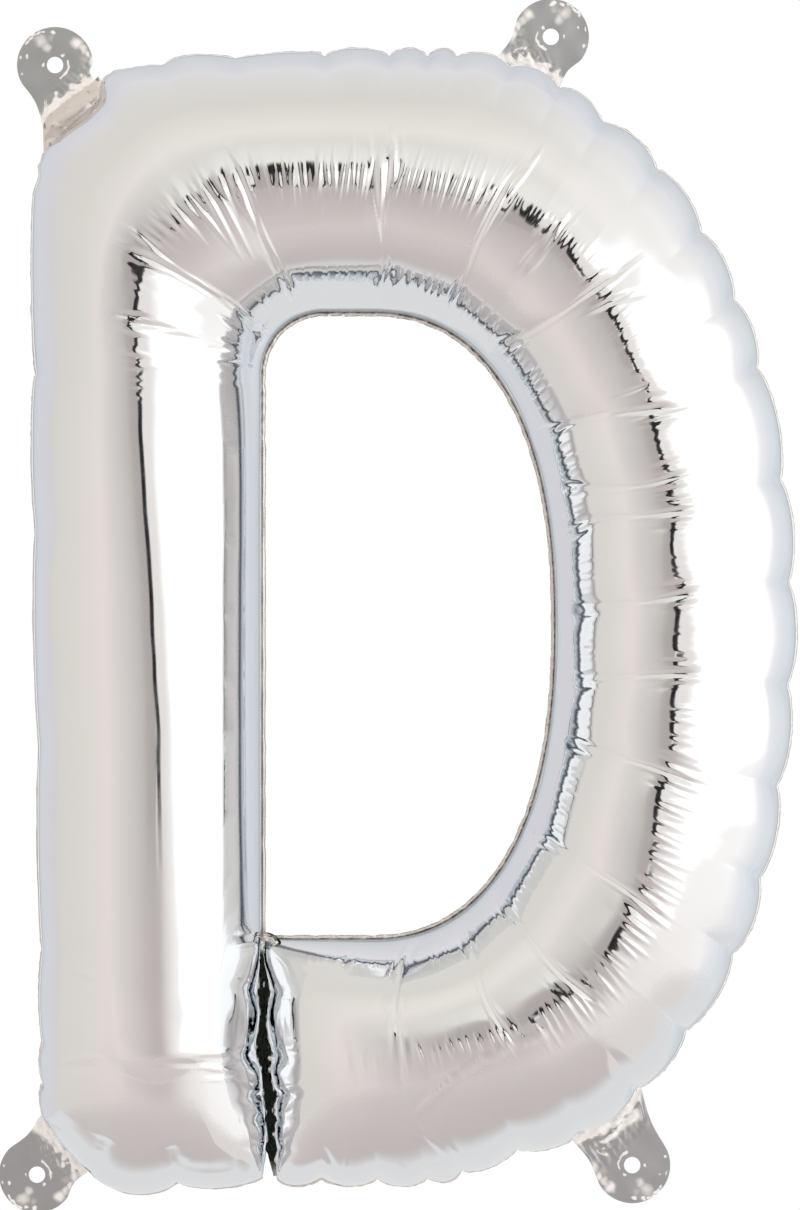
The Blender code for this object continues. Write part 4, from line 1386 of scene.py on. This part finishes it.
def reach_of(outline, hole, turn):
    """How far a ray from the hole runs at that angle before it leaves the outline."""
    way = np.array([math.cos(turn), math.sin(turn)])
    a, b = outline - hole, np.roll(outline, -1, 0) - hole
    off_a, off_b = a @ left_of(way), b @ left_of(way)
    crosses = (off_a < 0) != (off_b < 0)
    a, b, off_a, off_b = a[crosses], b[crosses], off_a[crosses], off_b[crosses]
    return ((a + (b - a) * (off_a / (off_a - off_b))[:, None]) @ way).max()


def glints_at(place):
    """How much painted highlight (up to 1) or painted shade (down to -1) each point of a tab has, seen
    from its hole.
    """
    value = np.zeros(place.shape[:-1])
    for middle, radii, degrees, softness, strength in GLINTS:
        offset = place - middle
        along_x = offset @ turned((1.0, 0.0), degrees) / radii[0]
        along_z = offset @ turned((0.0, 1.0), degrees) / radii[1]
        away = np.hypot(along_x, along_z)
        spot = smooth((1 + softness - away) / (2 * softness)) * strength
        value = np.where(abs(spot) > abs(value), spot, value)
    radius, low, high, half_width = GLINT_ARC
    turn = np.degrees(np.arctan2(place[..., 1], place[..., 0]))
    stroke = smooth((half_width + 0.12 - abs(np.hypot(place[..., 0], place[..., 1]) - radius)) / 0.2)
    value = np.maximum(value, stroke * smooth((turn - low) / 8) * smooth((high - turn) / 8))
    # A painted highlight along the tab's base
    away, share = beside(place.reshape(-1, 2), rounded(BASE_GLINT))
    width = BASE_GLINT_WIDTH * (1.5 - share) * np.where(away > 0, 1.6, 0.9)
    highlight_strip = smooth(1.4 - abs(away) / width) * smooth(share / 0.1) * smooth((1 - share) / 0.06)
    return np.maximum(value, highlight_strip.reshape(value.shape))


def add_tab(name, hole, base, flip, seed):
    """One hanging tab: crinkled film with a punched hole."""
    chance = np.random.default_rng(seed)
    hole = np.array(hole)
    outline = tab_outline(hole, base)
    turn = np.linspace(0, 2 * math.pi, TAB_TURNS, endpoint=False)
    reach = np.array([reach_of(outline, hole, angle) for angle in turn])
    share = np.linspace(0, 1, TAB_RINGS)
    radius = TAB_HOLE_RADIUS + (reach[:, None] - TAB_HOLE_RADIUS) * share
    local = rays(turn)[:, None] * radius[..., None]
    own = local * np.array(flip)
    away = abs(beside((local + hole).reshape(-1, 2), np.array(base))[0]).reshape(radius.shape)
    # Painted highlights along the base and at the glints, and flecks of painted shade, set the tab's
    # shade
    highlight_strip = smooth((TAB_HIGHLIGHT_STRIP - away + 0.7 * noise(own, chance, 5.0, 1.8)) / 0.8)
    warp = np.stack([noise(own, chance, 5.0, 1.8), noise(own, chance, 5.0, 1.8)], -1)
    painted_glint = np.maximum(glints_at(own + GLINT_WARP * warp), 0.95 * highlight_strip)
    crinkle = smooth((-own @ unit(np.array([-1.0, 1.0])) - 3) / 9)
    y = -0.1 + 0.04 * noise(own, chance, 14.0, 7.0) + 0.14 * crinkle * noise(own, chance, 4.5, 1.6)
    points = upright(local + hole, y)
    node = "hanging_tab_" + name
    tab = add_film(node, points, 0.5 + 0.5 * painted_glint, tab_material(name), closed=True)
    tab.visible_glossy = False


def stretch(line, first, last, count):
    """Evenly spaced points along the line, between its points nearest to first and last."""
    here, there = nearest_to(line, first), nearest_to(line, last)
    part = line[here : there + 1] if there > here else line[there : here + 1][::-1]
    return along(part, np.linspace(0, 1, count))


def add_valve(rim_line):
    """The filling neck: a flat, creased film between the letter's corner and its tab."""
    chance = np.random.default_rng(41)
    shares = np.linspace(0, 1, VALVE_ALONG)
    outer = along(rounded(VALVE_OUTER), shares)
    inner = stretch(rim_line, *VALVE_INNER, VALVE_ALONG)
    inner = inner + unit(inner - outer) * VALVE_OVERLAP
    share = np.linspace(0, 1, VALVE_ACROSS)
    place = between(outer, inner, share)
    swell = VALVE_SWELL * np.sin(np.pi * share)[None] * np.sin(np.pi * shares)[:, None] ** 0.6
    ends = (0.2 + 0.8 * abs(2 * shares - 1) ** 1.5)[:, None]
    crumple = noise(place, chance, 12.0, 4.0, 30)
    ridges = abs(noise(place, chance, 13.0, 5.0)) ** 0.6
    y = -0.3 - swell - 0.3 * crumple * ends - 0.4 * ridges * ends
    fleck = smooth((noise(place, chance, 5.0, 1.6, 40) - 1.3) / 0.5) * ends**2
    made_of = foil_material("valve_film")
    add_film("inflation_valve", upright(place, y), fleck, made_of)
    return outer


def add_hangings(plane):
    """The four hanging tabs and the inflation valve, just outside the letter."""
    edge, inwards = outer_line(plane)
    rim_line = edge - inwards * HANGING_GAP
    valve_edge = add_valve(rim_line)
    for seed, (name, (hole, ends, flip)) in enumerate(TABS.items(), 50):
        if name == "top_left":
            base = valve_edge[:: (VALVE_ALONG - 1) // 10]
        else:
            base = stretch(rim_line, *ends, 12)
        add_tab(name, hole, base, flip, seed)


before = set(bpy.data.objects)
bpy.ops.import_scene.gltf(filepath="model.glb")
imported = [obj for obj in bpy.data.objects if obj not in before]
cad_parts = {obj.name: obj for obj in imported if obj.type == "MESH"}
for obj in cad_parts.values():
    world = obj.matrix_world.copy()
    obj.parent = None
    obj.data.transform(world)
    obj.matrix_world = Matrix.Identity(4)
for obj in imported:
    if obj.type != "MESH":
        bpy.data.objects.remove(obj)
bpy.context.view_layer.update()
scene = bpy.context.scene
scene.view_settings.view_transform = "Standard"
add_camera()
add_tent()
add_floor()
front = add_sheet("front_foil", -1, 1.0, FRONT_ACROSS, FRONT_SEAM_SHADE, seed=3)
add_sheet("back_foil", 1, 0.6, BACK_ACROSS, BACK_SEAM_SHADE, seed=8)
add_rims(front)
add_weld()
add_hangings(front)
